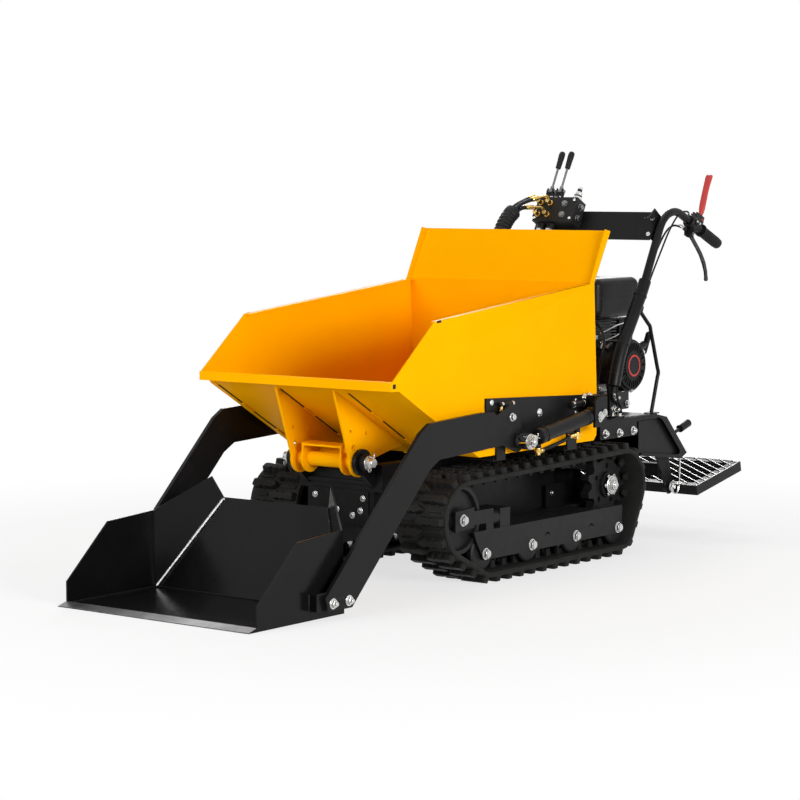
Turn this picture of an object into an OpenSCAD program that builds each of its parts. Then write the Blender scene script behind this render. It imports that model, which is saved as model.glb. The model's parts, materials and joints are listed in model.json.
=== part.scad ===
// Tracked power carrier: a small walk-behind dumper on rubber tracks with a self-loading shovel.
// Millimetres, +Z up, shovel towards -Y, operator towards +Y, the machine's left side towards +X.

/* [Tracks] */
// Width of one rubber track
track_w = 180; // [170:1:190]
// Width over both tracks
track_span = 725; // [710:1:745]
// Thickness of the rubber belt
belt_t = 14; // [12:0.5:16]
// Height of the tread blocks
tread_h = 18; // [14:0.5:22]
// Distance from one tread block to the next
tread_pitch = 60; // [50:1:70]
// Radius of the four road rollers
roller_r = 52; // [48:0.5:53]
// Distance from one road roller to the next
roller_pitch = 234; // [215:1:245]
// Radius of the front idler and of the belt's bend over the sprocket
wheel_r = 100; // [92:0.5:103]
// Thickness of the sprocket
sprocket_t = 30; // [22:1:34]
// Number of sprocket teeth
sprocket_teeth = 11; // [9:1:13]
// Thickness of the track frame's plates
beam_t = 8; // [6:0.5:10]

/* [Bin] */
// Width of the bin outside
bin_w = 700; // [640:1:704]
// Sheet thickness of the bin
bin_t = 4; // [3:0.5:6]
// Height of the bin's front edge above the ground
bin_front_z = 608; // [590:1:620]
// Height of the flared back panel's top edge
bin_back_z = 1000; // [940:1:1040]
// Side of the square tube on the front edge
rim_s = 26; // [22:1:30]
// Radius of the bin's hinge pin
hinge_r = 13; // [11:0.5:15]

/* [Loader] */
// Width of the shovel outside
shovel_w = 688; // [620:1:700]
// Sheet thickness of the shovel
shovel_t = 5; // [4:0.5:7]
// Thickness of the lift arms
arm_t = 12; // [9:0.5:14]
// Width of the lift arms in side view
arm_d = 104; // [92:1:112]
// Radius of the arm pivot pins
pivot_r = 20; // [16:0.5:23]
// Radius of the lift cylinder barrels
lift_r = 22; // [19:0.5:22.5]
// Radius of the lift cylinder rods
lift_rod_r = 11; // [9:0.5:13]
// Radius of the tip cylinder's barrel
tip_r = 30; // [26:0.5:33]

/* [Operator controls] */
// Distance between the handles' centre lines
handle_span = 470; // [450:1:500]
// Radius of the handles' lower tube
column_r = 20; // [18:0.5:22]
// Radius of the handles' upper tube
tube_r = 13; // [11:0.5:14]
// Radius of the rubber grips
grip_r = 17.5; // [16:0.5:19]
// Length of the rubber grips
grip_len = 114; // [100:1:125]
// Thickness of the control panel
panel_t = 4; // [3:0.5:6]
// Length of the valve levers above their pivots
valve_lever_len = 148; // [120:1:165]

/* [Rear] */
// Width of the engine deck
deck_w = 500; // [480:1:520]
// Sheet thickness of the deck and rear cover
deck_t = 4; // [3:0.5:5]
// Width of the operator's platform
platform_w = 600; // [560:1:640]
// Length of the operator's platform
platform_len = 290; // [260:1:310]
// Height of the platform's angle frame
platform_h = 33; // [28:1:38]
// Slope of the platform in degrees
platform_tilt = 11; // [8:0.5:13]
// Radius of the recoil starter's cover
recoil_r = 84; // [76:1:90]

/* [Fits] */
// Radial running clearance of pins and shafts
run_fit = 0.05; // [0.03:0.01:0.08]
// Gap between pieces that only lie next to each other
gap = 0.3; // [0.2:0.05:0.5]
// Gap between the belt and the wheels inside it
belt_gap = 0.4; // [0.3:0.05:0.6]

/* [Hidden] */
$fn = 48;

// Paint and surface colours
yellow = [0.98, 0.68, 0.02];
black = [0.10, 0.10, 0.11];
dark = [0.17, 0.17, 0.18];
rubber = [0.15, 0.15, 0.14];
steel = [0.62, 0.63, 0.64];
alloy = [0.70, 0.71, 0.71];
brass = [0.78, 0.62, 0.28];
red = [0.80, 0.18, 0.16];

// Track layout, side view values are [y, z]
track_out = track_span / 2;
track_in = track_out - track_w;
track_x = track_out - track_w / 2;
roller_z = tread_h + belt_t + belt_gap + roller_r;
roller_y = [for (i = [0 : 3]) 171 + (i - 1.5) * roller_pitch];
idler_at = [roller_y[0] - 110, roller_z + 108.6];
sprocket_at = [roller_y[3] + 10, roller_z + 129.6];
belt_r = wheel_r + belt_gap;
wheels = [[roller_y[0], roller_z, roller_r + belt_gap], [roller_y[3], roller_z, roller_r + belt_gap],
  [sprocket_at[0], sprocket_at[1], belt_r], [idler_at[0], idler_at[1], belt_r]];
tread_w = 27;
tread_sink = 4;
guide_in = sprocket_t / 2 + 5;
guide_w = 14;
guide_h = 21;
guide_len = 26;
groove = guide_in + guide_w + 3;
rim_out = groove + 17;
beam_x = track_x + rim_out + 3.5;
beam_in_x = track_x - rim_out - 3.5 - beam_t;
axle_r = 10;
shaft_r = 20;
track_top = sprocket_at[1] + belt_r + belt_t + tread_h;

// The frame stands a little above the tracks, and everything on it is measured from there
frame_gap = 4;
frame_ref = 350;
frame_z = track_top + frame_gap;
up = frame_z - frame_ref;

// Chassis
rail_x = 113;
rail_w = 40;
rail_h = 80;
rail_z = frame_ref - rail_h;
ear_t = 12;
front_y = -425;
rest_h = 12;
lower_z = roller_z + 12;
lower_h = 50;
lower_y = [0, 350];

// Bin in side view
bin_x = bin_w / 2;
hinge_at = [-475, 360];
bin_ear_r = 43;
bin_ear_t = 8;
bin_ear_x = rail_x - 3 - bin_ear_t;
yoke_x = 67;
bin_floor_z = 368;
bin_corner = 16;
bin_rear_y = 381;
bin_front_y = -637;
bin_side_top = [[-439, bin_front_z + 157], [364, bin_front_z + 238]];
bin_slope_y = -230;
bin_slope_top = [bin_front_y + rim_s + 7, bin_front_z - rim_s];
bin_flare_y = 451;

// Arm brackets, lift arms and lift cylinders, side view values are [y, z]
shovel_x = shovel_w / 2;
bracket_x = bin_x + 1;
bracket_t = 6;
arm_x = max(bracket_x + bracket_t + 15, shovel_x + 28);
knuckle_t = arm_t - 5;
pivot_at = [-107, 476];
lift_pin_at = [-78, 405];
lift_base_at = [274, 456];
rest_y = [[-160, -100], [205, 270]];
lift_pin_r = 12;
lift_x = arm_x + arm_t + 2 + lift_r;
lift_eye_w = 30;
lift_ear_x = lift_x + lift_eye_w / 2 + 2;
lift_ear_t = 8;
lift_line = lift_pin_at - lift_base_at;
lift_len = norm(lift_line);
lift_angle = atan2(lift_line[1], lift_line[0]);

// Tip cylinder under the bin
tip_base_at = [-300, 215];
tip_pin_at = [60, 335];
tip_pin_r = 14;
tip_rod_r = tip_r / 2;
tip_lug_x = tip_r + 2;
tip_line = tip_pin_at - tip_base_at;
tip_len = norm(tip_line);
tip_angle = atan2(tip_line[1], tip_line[0]);

// Distance of every cylinder's open end from the rod's eye at rest
gland = 58;

// Shovel in side view
lip_y = -1225;
shovel_bend_y = -835;
shovel_back_top = [-706, 258];
shovel_back_x = 194;
lip_lift = 1;

// Handles, side view values are [y, z]
handle_x = handle_span / 2;
column_foot = [646, 409];
column_lean = 23.9;
column_dir = [sin(column_lean), cos(column_lean)];
column_top = column_foot + 465 * column_dir;
lean = 27.4;
tube_dir = [sin(lean), cos(lean)];
bend_r = 100;
grip_drop = 23.2;
bend_thin = 0.15;
bend_from = column_top + 185 * tube_dir;
bend_centre = bend_from + bend_r * [cos(lean), -sin(lean)];
bend_to = bend_centre + bend_r * [sin(grip_drop), cos(grip_drop)];
grip_dir = [cos(grip_drop), -sin(grip_drop)];
grip_from = bend_to + 142 * grip_dir;
tube_end = grip_from + (grip_len - 8) * grip_dir;
clamp_at = bend_to + 78 * grip_dir;
clamp_w = 34;
clutch_at = [43, 30];
steer_drop = 36;
lever_t = 7;
brace_r = 6;
lever_pin_r = 4;
blade_w = 26;

// Control panel and valve
panel_low = [884, 962];
panel_h = 100;
valve_x = [-192, -155];
valve_in = -214;
valve_out = -60;
valve_h = 88;
valve_d = 54;
valve_base = 36;
valve_pivot = valve_base + valve_h + 34;
valve_mid = -panel_t - gap - valve_d / 2;
valve_pin_r = 4;

// Rear deck and cover in side view
deck_z = 405;
deck_x = deck_w / 2;
deck_front_y = 398;
cover_pts = [[deck_front_y, deck_z], [877, deck_z], [951, deck_z - 14], [1078, 263],
  [1040, 247], [789, 277]];
shift_at = [960, 300];
shift_x = 212;
shift_angle = 16;
shift_hub = 32;
shift_pin_r = 5;
shift_plate_t = 6;
shift_plate_x = shift_x - shift_hub / 2 - gap - shift_plate_t;
platform_at = [1044, 152];
platform_x = platform_w / 2;
platform_gap = 14;
platform_ear_x = 198;
platform_ear_t = 8;
platform_pin_r = 8;
platform_lip = 4;

// Engine
engine_y = 825;
crank_z = 562;
recoil_x = 202;
recoil_d = 46;
tank_y = [692, 946];
tank_z = [716, 842];
tank_x = 150;
cap_at = [20, 800];
cap_r = 32;
neck_r = 24;
neck_h = 12;
rope_r = 2.5;
rope_len = 120;
pull_at = [engine_y + 66, crank_z + 54];
pull_angle = 14;

// The part stands centred on its own outline
rear_y = platform_at[0] + (platform_gap + platform_len) * cos(platform_tilt);
mid_y = -(lip_y + rear_y) / 2;

// General helpers

module place() translate([0, mid_y, 0]) children();

module raised() translate([0, mid_y, up]) children();

// The stretch from c + a to c + b
function span(c, a, b) = [c + a, c + b];

module both() {
  children();
  mirror([1, 0, 0]) children();
}

module box(x, y, z) translate([x[0], y[0], z[0]]) cube([x[1] - x[0], y[1] - y[0], z[1] - z[0]]);

// Side view outline in [y, z], thickened from x0 towards +X
module side(x0, t) translate([x0, 0, 0]) rotate([90, 0, 90]) linear_extrude(t) children();

module xcyl(x0, len, r, at) translate([x0, at[0], at[1]]) rotate([0, 90, 0]) cylinder(h = len, r = r);

module ycyl(y0, len, r) translate([0, y0, 0]) rotate([-90, 0, 0]) cylinder(h = len, r = r);

module hexnut(x0, len, r, at) translate([x0, at[0], at[1]]) rotate([0, 90, 0]) cylinder(h = len, r = r, $fn = 6);

module rod(a, b, r) {
  d = b - a;
  l = norm(d);
  translate(a) rotate([0, acos(d[2] / l), atan2(d[1], d[0])]) cylinder(h = l, r = r);
}

module disc2d(at, r) translate(at) circle(r);

// A bent sheet in side view: the outer line and the same line moved inwards by t, with mitred bends
function left_of(d) = [-d[1], d[0]] / norm(d);
function mitre(p, i, t) =
  let (a = left_of(p[max(i, 1)] - p[max(i, 1) - 1]),
    b = left_of(p[min(i, len(p) - 2) + 1] - p[min(i, len(p) - 2)]))
  p[i] + t * (a + b) / (1 + a * b);
function moved(p, t) = [for (i = [0 : len(p) - 1]) mitre(p, i, t)];
function turned(p) = [for (i = [len(p) - 1 : -1 : 0]) p[i]];

module bent(p, t) polygon(concat(p, turned(moved(p, t))));

// Round hoses and cables swept along a smooth route
function smooth(p, i, t) =
  let (a = p[max(i - 1, 0)], b = p[i], c = p[i + 1], d = p[min(i + 2, len(p) - 1)])
  0.5 * (2 * b + (c - a) * t + (2 * a - 5 * b + 4 * c - d) * t * t + (3 * b - a - 3 * c + d) * t * t * t);
function route(p, n) = concat([for (i = [0 : len(p) - 2]) for (k = [0 : n - 1]) smooth(p, i, k / n)],
  [p[len(p) - 1]]);
function unit(v) = v / norm(v);
function along(p, i) = unit(p[min(i + 1, len(p) - 1)] - p[max(i - 1, 0)]);
function over(p, i) = unit(cross(along(p, i), [1, 0, 0]));
function ring(p, i, r, n) =
  let (u = over(p, i), v = cross(along(p, i), u))
  [for (k = [0 : n - 1]) p[i] + r * (cos(360 * k / n) * u + sin(360 * k / n) * v)];
function band(i, j, n) = [for (k = [0 : n - 1]) each
  [[i * n + k, j * n + k, j * n + (k + 1) % n], [i * n + k, j * n + (k + 1) % n, i * n + (k + 1) % n]]];

module hose(p, r, n) {
  m = len(p);
  pts = [for (i = [0 : m - 1]) each ring(p, i, r, n)];
  first = [for (k = [1 : n - 2]) [0, k, k + 1]];
  last = [for (k = [1 : n - 2]) [(m - 1) * n, (m - 1) * n + k + 1, (m - 1) * n + k]];
  walls = [for (i = [0 : m - 2]) each band(i, i + 1, n)];
  polyhedron(pts, concat(first, walls, last));
}

// Track belt: tangent lines between the wheels, with arcs over them

function wheel(i) = wheels[i % 4];
function wheel_at(i) = [wheel(i)[0], wheel(i)[1]];
function face_angle(i) =
  let (d = wheel_at(i + 1) - wheel_at(i))
  atan2(d[1], d[0]) - acos((wheel(i)[2] - wheel(i + 1)[2]) / norm(d));
function spot(i, r, a) = wheel_at(i) + r * [cos(a), sin(a)];
function run_from(i, add) = spot(i, wheel(i)[2] + add, face_angle(i));
function run_to(i, add) = spot(i + 1, wheel(i + 1)[2] + add, face_angle(i));
function run_len(i, add) = norm(run_to(i, add) - run_from(i, add));
function arc_deg(i) = (face_angle(i + 1) - face_angle(i) + 720) % 360;
function arc_len(i, add) = (wheel(i + 1)[2] + add) * arc_deg(i) * PI / 180;
function loop_len(add, i = 0) = i == 4 ? 0 : run_len(i, add) + arc_len(i, add) + loop_len(add, i + 1);

// Place and outward angle at a length s along the loop
function on_loop(s, add, i = 0) =
  let (l = run_len(i, add), a = arc_len(i, add))
  s < l ? [run_from(i, add) + (run_to(i, add) - run_from(i, add)) * s / l, face_angle(i)]
  : s < l + a ? let (t = face_angle(i) + (s - l) / a * arc_deg(i)) [spot(i + 1, wheel(i + 1)[2] + add, t), t]
  : on_loop(s - l - a, add, (i + 1) % 4);

module loop2d(add) {
  polygon([for (i = [0 : 3]) each [run_from(i, add), run_to(i, add)]]);
  for (i = [0 : 3]) disc2d(wheel_at(i), wheel(i)[2] + add, $fn = 96);
}

module blocks2d(add, shift, pts) {
  total = loop_len(add);
  count = round(loop_len(belt_t) / tread_pitch);
  for (i = [0 : count - 1]) {
    at = on_loop((i + shift) * total / count, add);
    translate(at[0]) rotate(at[1] - 90) polygon(pts);
  }
}

module track() {
  block = [[-tread_w / 2, -tread_sink], [tread_w / 2, -tread_sink], [tread_w / 2 - 3, tread_h],
    [3 - tread_w / 2, tread_h]];
  tooth = [[-guide_len / 2, tread_sink], [6 - guide_len / 2, -guide_h], [guide_len / 2 - 6, -guide_h],
    [guide_len / 2, tread_sink]];
  side(track_in, track_w) difference() {
    loop2d(belt_t);
    loop2d(0);
  }
  side(track_in + 6, track_w * 0.56 - 6) blocks2d(belt_t, 0.25, block);
  side(track_x - track_w * 0.06, track_w * 0.56 - 6) blocks2d(belt_t, 0.75, block);
  for (s = [-1, 1]) side(track_x + s * (guide_in + guide_w / 2) - guide_w / 2, guide_w)
    blocks2d(0, 0.5, tooth);
}

// Wheels inside the track, turned about their own axles

module spun(at) translate([track_x, at[0], at[1]]) rotate([0, 90, 0]) rotate_extrude() children();

module roller(i) spun([roller_y[i], roller_z]) difference() {
  polygon([[axle_r + run_fit, -rim_out], [roller_r - 6, -rim_out], [roller_r, 3 - rim_out],
    [roller_r, -groove], [26, -groove], [26, groove], [roller_r, groove], [roller_r, rim_out - 3],
    [roller_r - 6, rim_out], [axle_r + run_fit, rim_out]]);
}

module idler() {
  floor_r = wheel_r - guide_h - 6;
  spun(idler_at) polygon([[axle_r + run_fit, -rim_out], [30, -rim_out], [36, -rim_out + 14], [wheel_r - 16,
    -rim_out + 14], [wheel_r - 12, -rim_out], [wheel_r, -rim_out], [wheel_r, -groove],
    [floor_r, -groove], [floor_r, groove], [wheel_r, groove], [wheel_r, rim_out], [wheel_r - 12,
    rim_out], [wheel_r - 16, rim_out - 14], [36, rim_out - 14], [30, rim_out],
    [axle_r + run_fit, rim_out]]);
}

module sprocket() {
  root = wheel_r - guide_h;
  side(track_x - sprocket_t / 2, sprocket_t) difference() {
    union() {
      disc2d(sprocket_at, root);
      for (i = [0 : sprocket_teeth - 1]) translate(sprocket_at) rotate(i * 360 / sprocket_teeth)
        polygon([[root - 6, -17], [wheel_r, -8], [wheel_r, 8], [root - 6, 17]]);
    }
    for (i = [0 : 4]) translate(sprocket_at) rotate(i * 72 + 12) translate([58, 0]) circle(9);
  }
  xcyl(track_x - sprocket_t / 2 - 20, sprocket_t + 32, 40, sprocket_at);
  xcyl(gearbox_x + 2, track_x + sprocket_t / 2 + 26 - gearbox_x, shaft_r, sprocket_at);
  hexnut(track_x + sprocket_t / 2 + 12, 10, 26, sprocket_at);
  for (i = [0 : 5]) translate([0, sprocket_at[0], sprocket_at[1]]) rotate([60 * i, 0, 0])
    xcyl(track_x + sprocket_t / 2 + 12, 6, 5, [31, 0]);
}

module track_frame() {
  link = [roller_y[0] + 5, roller_y[0] + 40];
  for (x = [beam_x, beam_in_x]) side(x, beam_t) difference() {
    union() {
      polygon([[roller_y[0] - 56, beam_top], [roller_y[0] - 42, beam_top - 30], [roller_y[0] - 6, beam_low],
        [roller_y[3] + 26, beam_low], [roller_y[3] + 26, beam_top]]);
      polygon([idler_at + [-34, -32], idler_at + [-34, 26], idler_at + [56, 32], idler_at + [56, 20],
        [link[1], idler_at[1] + 20], [link[1], idler_at[1] - 20], idler_at + [56, -20], idler_at + [56, -26]]);
      polygon([[link[0], beam_top - 4], [link[1], beam_top - 4], [link[1], idler_at[1]], [link[0], idler_at[1]]]);
    }
    for (y = roller_y) disc2d([y, roller_z], axle_r + run_fit);
    disc2d(idler_at, axle_r + run_fit);
    for (y = [roller_y[1] + 85, roller_y[2] + 87]) difference() {
      disc2d([y, roller_z + 14], 14);
      disc2d([y, roller_z + 9], 14);
    }
  }
  box([beam_in_x + beam_t, beam_x], [roller_y[0] + 40, roller_y[3] - 110], [beam_top - 8, beam_top]);
  box([beam_in_x + beam_t, beam_x], link, [beam_top - 8, idler_at[1] + 18]);
  box([track_x - 20, beam_x + beam_t - 2], [link[1] + 36, link[1] + 86], [beam_top - 2, beam_top + 56]);
  translate([beam_x - 16, 0, beam_top + 30]) ycyl(link[1] - 2, 40, 22);
}

module axle(at) {
  xcyl(beam_in_x, beam_x + 2 * beam_t - beam_in_x + 6, axle_r, at);
  hexnut(beam_in_x - 8, 8, 15, at);
  xcyl(beam_x + beam_t, 3, 17, at);
  hexnut(beam_x + beam_t + 3, 8, 14, at);
}

beam_low = roller_z - 18;
beam_top = roller_z + 68;

module track_left() color(rubber) place() track();
module track_right() color(rubber) place() mirror([1, 0, 0]) track();
module track_frame_left() color(dark) place() track_frame();
module track_frame_right() color(dark) place() mirror([1, 0, 0]) track_frame();
module sprocket_left() color(black) place() sprocket();
module sprocket_right() color(black) place() mirror([1, 0, 0]) sprocket();
module idler_left() color(dark) place() idler();
module idler_right() color(dark) place() mirror([1, 0, 0]) idler();
module roller_left_1() color(dark) place() roller(0);
module roller_left_2() color(dark) place() roller(1);
module roller_left_3() color(dark) place() roller(2);
module roller_left_4() color(dark) place() roller(3);
module roller_right_1() color(dark) place() mirror([1, 0, 0]) roller(0);
module roller_right_2() color(dark) place() mirror([1, 0, 0]) roller(1);
module roller_right_3() color(dark) place() mirror([1, 0, 0]) roller(2);
module roller_right_4() color(dark) place() mirror([1, 0, 0]) roller(3);

module wheel_axles() color(steel) place() both() {
  for (y = roller_y) axle([y, roller_z]);
  axle(idler_at);
}

// Chassis between and above the tracks

gearbox_x = 90;
gearbox_y = [sprocket_at[0] - 84, sprocket_at[0] + 96];

module chassis_frame() color(black) {
  place() {
    for (y = lower_y) box([-beam_in_x, beam_in_x], [y - 30, y + 30], [lower_z, lower_z + lower_h]);
    both() for (y = lower_y) box([rail_x, rail_x + rail_w], [y - 30, y + 30],
      [lower_z + lower_h, up + rail_z]);
  }
  raised() {
    both() {
      box([rail_x, rail_x + rail_w], [front_y, 430], [rail_z, frame_ref]);
      box([rail_x, rail_x + 8], [front_y, -240], [170, rail_z]);
      box([rail_x, bracket_x], rest_y[0], [frame_ref, frame_ref + rest_h]);
      box([rail_x + rail_w - 5, rail_x + rail_w], [-240, 440], [140, rail_z + 1]);
      box([rail_x, rail_x + rail_w], [390, 430], [frame_ref, deck_z - deck_t - 40]);
      hinge_ear();
    }
    box([-bracket_x, bracket_x], rest_y[1], [frame_ref, frame_ref + rest_h]);
    box([-rail_x - 8, rail_x + 8], [front_y, -240], [162, 170]);
    difference() {
      box([-rail_x, rail_x], [front_y, front_y + 10], [170, 334]);
      translate([70, front_y - 1, 212]) rotate([-90, 0, 0]) cylinder(h = 12, r = 22);
      translate([-70, front_y - 1, 212]) rotate([-90, 0, 0]) cylinder(h = 12, r = 22);
    }
    for (x = [-tip_lug_x - 8, tip_lug_x]) side(x, 8) difference() {
      union() {
        polygon([tip_base_at + [-30, -45], tip_base_at + [30, -45], tip_base_at + [22, 4],
          tip_base_at + [-22, 4]]);
        disc2d(tip_base_at, 23);
      }
      disc2d(tip_base_at, tip_pin_r + run_fit);
    }
  }
}

module hinge_ear() side(rail_x, ear_t) difference() {
  union() {
    polygon([hinge_at + [-38, 0], hinge_at + [0, -38], [front_y, rail_z + 10], [front_y + 4, frame_ref],
      hinge_at + [0, 38]]);
    disc2d(hinge_at, 38);
  }
  disc2d(hinge_at, hinge_r + run_fit);
}

module arm_brackets() color(black) raised() both() {
  side(bracket_x, bracket_t) {
    polygon([[-204, 392], [-204, 535], [389, 508], [389, 452], [-60, 392]]);
    for (y = rest_y) polygon([[y[0] + 8, 352], [y[0] + 8, 440], [y[1] - 8, 440], [y[1] - 8, 352]]);
  }
  side(bracket_x + bracket_t, arm_x - bracket_x - bracket_t - gap) difference() {
    disc2d(pivot_at, 38);
    disc2d(pivot_at, pivot_r + run_fit);
  }
  side(lift_ear_x, lift_ear_t) difference() {
    polygon(concat(ear_from(-26, [-35, 40, 55]), ear_from(36, [55, -35])));
    disc2d(lift_base_at, lift_pin_r + run_fit);
  }
  box([bracket_x + bracket_t, lift_ear_x], span(lift_base_at[0], 26, 36), span(lift_base_at[1], -10, 55));
}

// Corners of the cylinder's outer ear at a distance behind its pin and heights about it
function ear_from(y, z) = [for (h = z) lift_base_at + [h == 55 && y < 0 ? y + 14 : y, h]];

module pivot_pins() color(steel) raised() {
  both() {
    xcyl(bracket_x + bracket_t, lift_ear_x + lift_ear_t + 3 - bracket_x - bracket_t, lift_pin_r,
      lift_base_at);
    hexnut(rail_x + ear_t + gap, 14, hinge_r + 11, hinge_at);
  }
  xcyl(-rail_x - ear_t - 39, 2 * (rail_x + ear_t + 39), hinge_r, hinge_at);
  xcyl(-tip_lug_x - 12, 2 * tip_lug_x + 24, tip_pin_r, tip_base_at);
}

module gearbox() color(dark) raised() {
  at = sprocket_at - [0, up];
  difference() {
    union() {
      box([-gearbox_x, gearbox_x], gearbox_y, [148, 330]);
      box([-rail_x - rail_w, rail_x + rail_w], gearbox_y + [14, -14], [330, deck_z - deck_t - 40]);
      both() xcyl(gearbox_x, 88, 40, at);
      both() xcyl(gearbox_x, 12, 62, at);
    }
    both() xcyl(gearbox_x + 1, 100, shaft_r + run_fit, at);
  }
  box([-60, 60], [gearbox_y[1], gearbox_y[1] + 40], [190, 300]);
}

// Bin

module bin_side2d() polygon([[bin_front_y + 3, bin_front_z - 3], bin_side_top[0], bin_side_top[1],
  [bin_rear_y, 506], [bin_rear_y, bin_floor_z + bin_corner], [bin_rear_y - bin_corner, bin_floor_z],
  [bin_slope_y, bin_floor_z], bin_slope_top,
  bin_slope_top + [-30, 0]]);

module bin_room2d() {
  d = moved([bin_slope_top, [bin_slope_y, bin_floor_z], [bin_rear_y - bin_corner, bin_floor_z],
    [bin_rear_y, bin_floor_z + bin_corner], [bin_rear_y, 506], bin_side_top[1]], bin_t);
  polygon(concat([d[0] + [0, 500]], d, [bin_side_top[1] + [0, 300]]));
}

module bin() color(yellow) raised() {
  difference() {
    side(-bin_x, bin_w) bin_side2d();
    side(bin_t - bin_x, bin_w - 2 * bin_t) bin_room2d();
  }
  flare = [bin_side_top[1], [bin_flare_y, bin_back_z]];
  side(-bin_x, bin_w) bent(concat([bin_side_top[1] + [1, -12]], flare), bin_t);
  both() side(bin_x - bin_t, bin_t) polygon([flare[0] + [-20, -2], flare[1] + [-26, 6], flare[1], flare[0]]);
  difference() {
    box([-bin_x, bin_x], span(bin_front_y, 0, rim_s), span(bin_front_z, -rim_s, 0));
    box([-bin_x - 1, bin_x + 1], span(bin_front_y, 3, rim_s - 3), span(bin_front_z, 3 - rim_s, -3));
  }
  both() side(bin_x - bin_t - 14, 14) bent([bin_side_top[1] + [-4, -1], bin_side_top[0] + [6, 0]], 5);
}

module bin_underframe() color(yellow) raised() {
  slope = (bin_slope_top - [bin_slope_y, bin_floor_z])[1] / (bin_slope_top - [bin_slope_y, bin_floor_z])[0];
  ear_top = [-588, bin_floor_z + slope * (-588 - bin_slope_y)];
  ear_back = [bin_slope_y - 45, bin_floor_z - slope * 45];
  both() {
    side(bin_ear_x, bin_ear_t) difference() {
      union() {
        polygon([ear_top, hinge_at + [-bin_ear_r + 4, 0], hinge_at + [0, -bin_ear_r + 6],
          hinge_at + [bin_ear_r - 4, 0], ear_back]);
        disc2d(hinge_at, bin_ear_r);
      }
      disc2d(hinge_at, hinge_r + run_fit);
      disc2d(hinge_at + [-27, 43], 8);
      disc2d(hinge_at + [-40, 90], 5);
      disc2d(hinge_at + [30, 80], 5);
    }
    side(bin_ear_x + bin_ear_t - 1, rail_x - bin_ear_x - bin_ear_t + 1 - gap) difference() {
      disc2d(hinge_at, hinge_r + 14);
      disc2d(hinge_at, hinge_r + run_fit);
    }
    side(yoke_x, 6) difference() {
      union() {
        polygon([hinge_at + [-36, 46], hinge_at + [-36, 0], hinge_at + [0, -30], hinge_at + [36, 0],
          hinge_at + [36, 46]]);
        disc2d(hinge_at, 40);
      }
      disc2d(hinge_at, hinge_r + run_fit);
    }
    box([bin_ear_x - 30, bin_ear_x + 10], [bin_slope_y + 10, bin_rear_y - 6], [frame_ref + rest_h + gap,
      bin_floor_z]);
    side(tip_lug_x, bin_ear_t) difference() {
      polygon([[tip_pin_at[0] - 40, bin_floor_z], [tip_pin_at[0] - 20, tip_pin_at[1] - 22],
        [tip_pin_at[0] + 20, tip_pin_at[1] - 22], [tip_pin_at[0] + 40, bin_floor_z]]);
      disc2d(tip_pin_at, tip_pin_r + run_fit);
    }
  }
  box([-yoke_x - 6, yoke_x + 6], span(hinge_at[0], -36, 36), span(hinge_at[1], 40, 46));
  difference() {
    xcyl(-bin_ear_x - 1, 2 * bin_ear_x + 2, hinge_r + 8, hinge_at);
    xcyl(-bin_ear_x - 2, 2 * bin_ear_x + 4, hinge_r + run_fit, hinge_at);
  }
}

// Cylinder drawn along +Y from its base eye, with a bore for the piston

module barrel(len, r, rod_r, pin_r, eye_w) difference() {
  union() {
    ycyl(14, 24, min(r, eye_w / 2) - 0.5);
    ycyl(34, len - gland - 38, r);
    ycyl(len - gland - 18, 18, r + 0.4);
    xcyl(-eye_w / 2, eye_w, r + 2, [0, 0]);
  }
  ycyl(r + 22, len - gland - 18 - r - 22, r - 4.5);
  ycyl(len - gland - 36, 60, rod_r + run_fit);
  xcyl(-eye_w, 2 * eye_w, pin_r + run_fit, [0, 0]);
}

module piston_rod(len, r, rod_r, eye_w) {
  ycyl(r + 30, 18, r - 4.5 - run_fit);
  ycyl(r + 40, len - r - 40, rod_r);
  translate([0, len, 0]) xcyl(-eye_w / 2, eye_w, r + 1, [0, 0]);
}

module on_lift() raised() translate([lift_x, lift_base_at[0], lift_base_at[1]]) rotate([lift_angle, 0, 0])
  children();

module lift_barrel() on_lift() barrel(lift_len, lift_r, lift_rod_r, lift_pin_r, lift_eye_w);

module lift_rod() on_lift() {
  piston_rod(lift_len, lift_r, lift_rod_r, lift_eye_w);
  translate([0, lift_len, 0]) {
    xcyl(arm_x + arm_t + gap - lift_x, lift_x - arm_x - arm_t, lift_pin_r + 5, [0, 0]);
    xcyl(0, lift_eye_w / 2 + 5, lift_pin_r, [0, 0]);
  }
}

module lift_barrel_left() color(black) lift_barrel();
module lift_barrel_right() color(black) mirror([1, 0, 0]) lift_barrel();
module lift_rod_left() color(steel) lift_rod();
module lift_rod_right() color(steel) mirror([1, 0, 0]) lift_rod();

module on_tip() raised() translate([0, tip_base_at[0], tip_base_at[1]]) rotate([tip_angle, 0, 0]) children();

module tip_barrel() color(black) on_tip() barrel(tip_len, tip_r, tip_rod_r, tip_pin_r, 2 * tip_lug_x - 2);

module tip_rod() color(steel) on_tip() {
  piston_rod(tip_len, tip_r - 4, tip_rod_r, 2 * tip_lug_x - 2 * gap);
}

// Lift arms and shovel

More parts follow.
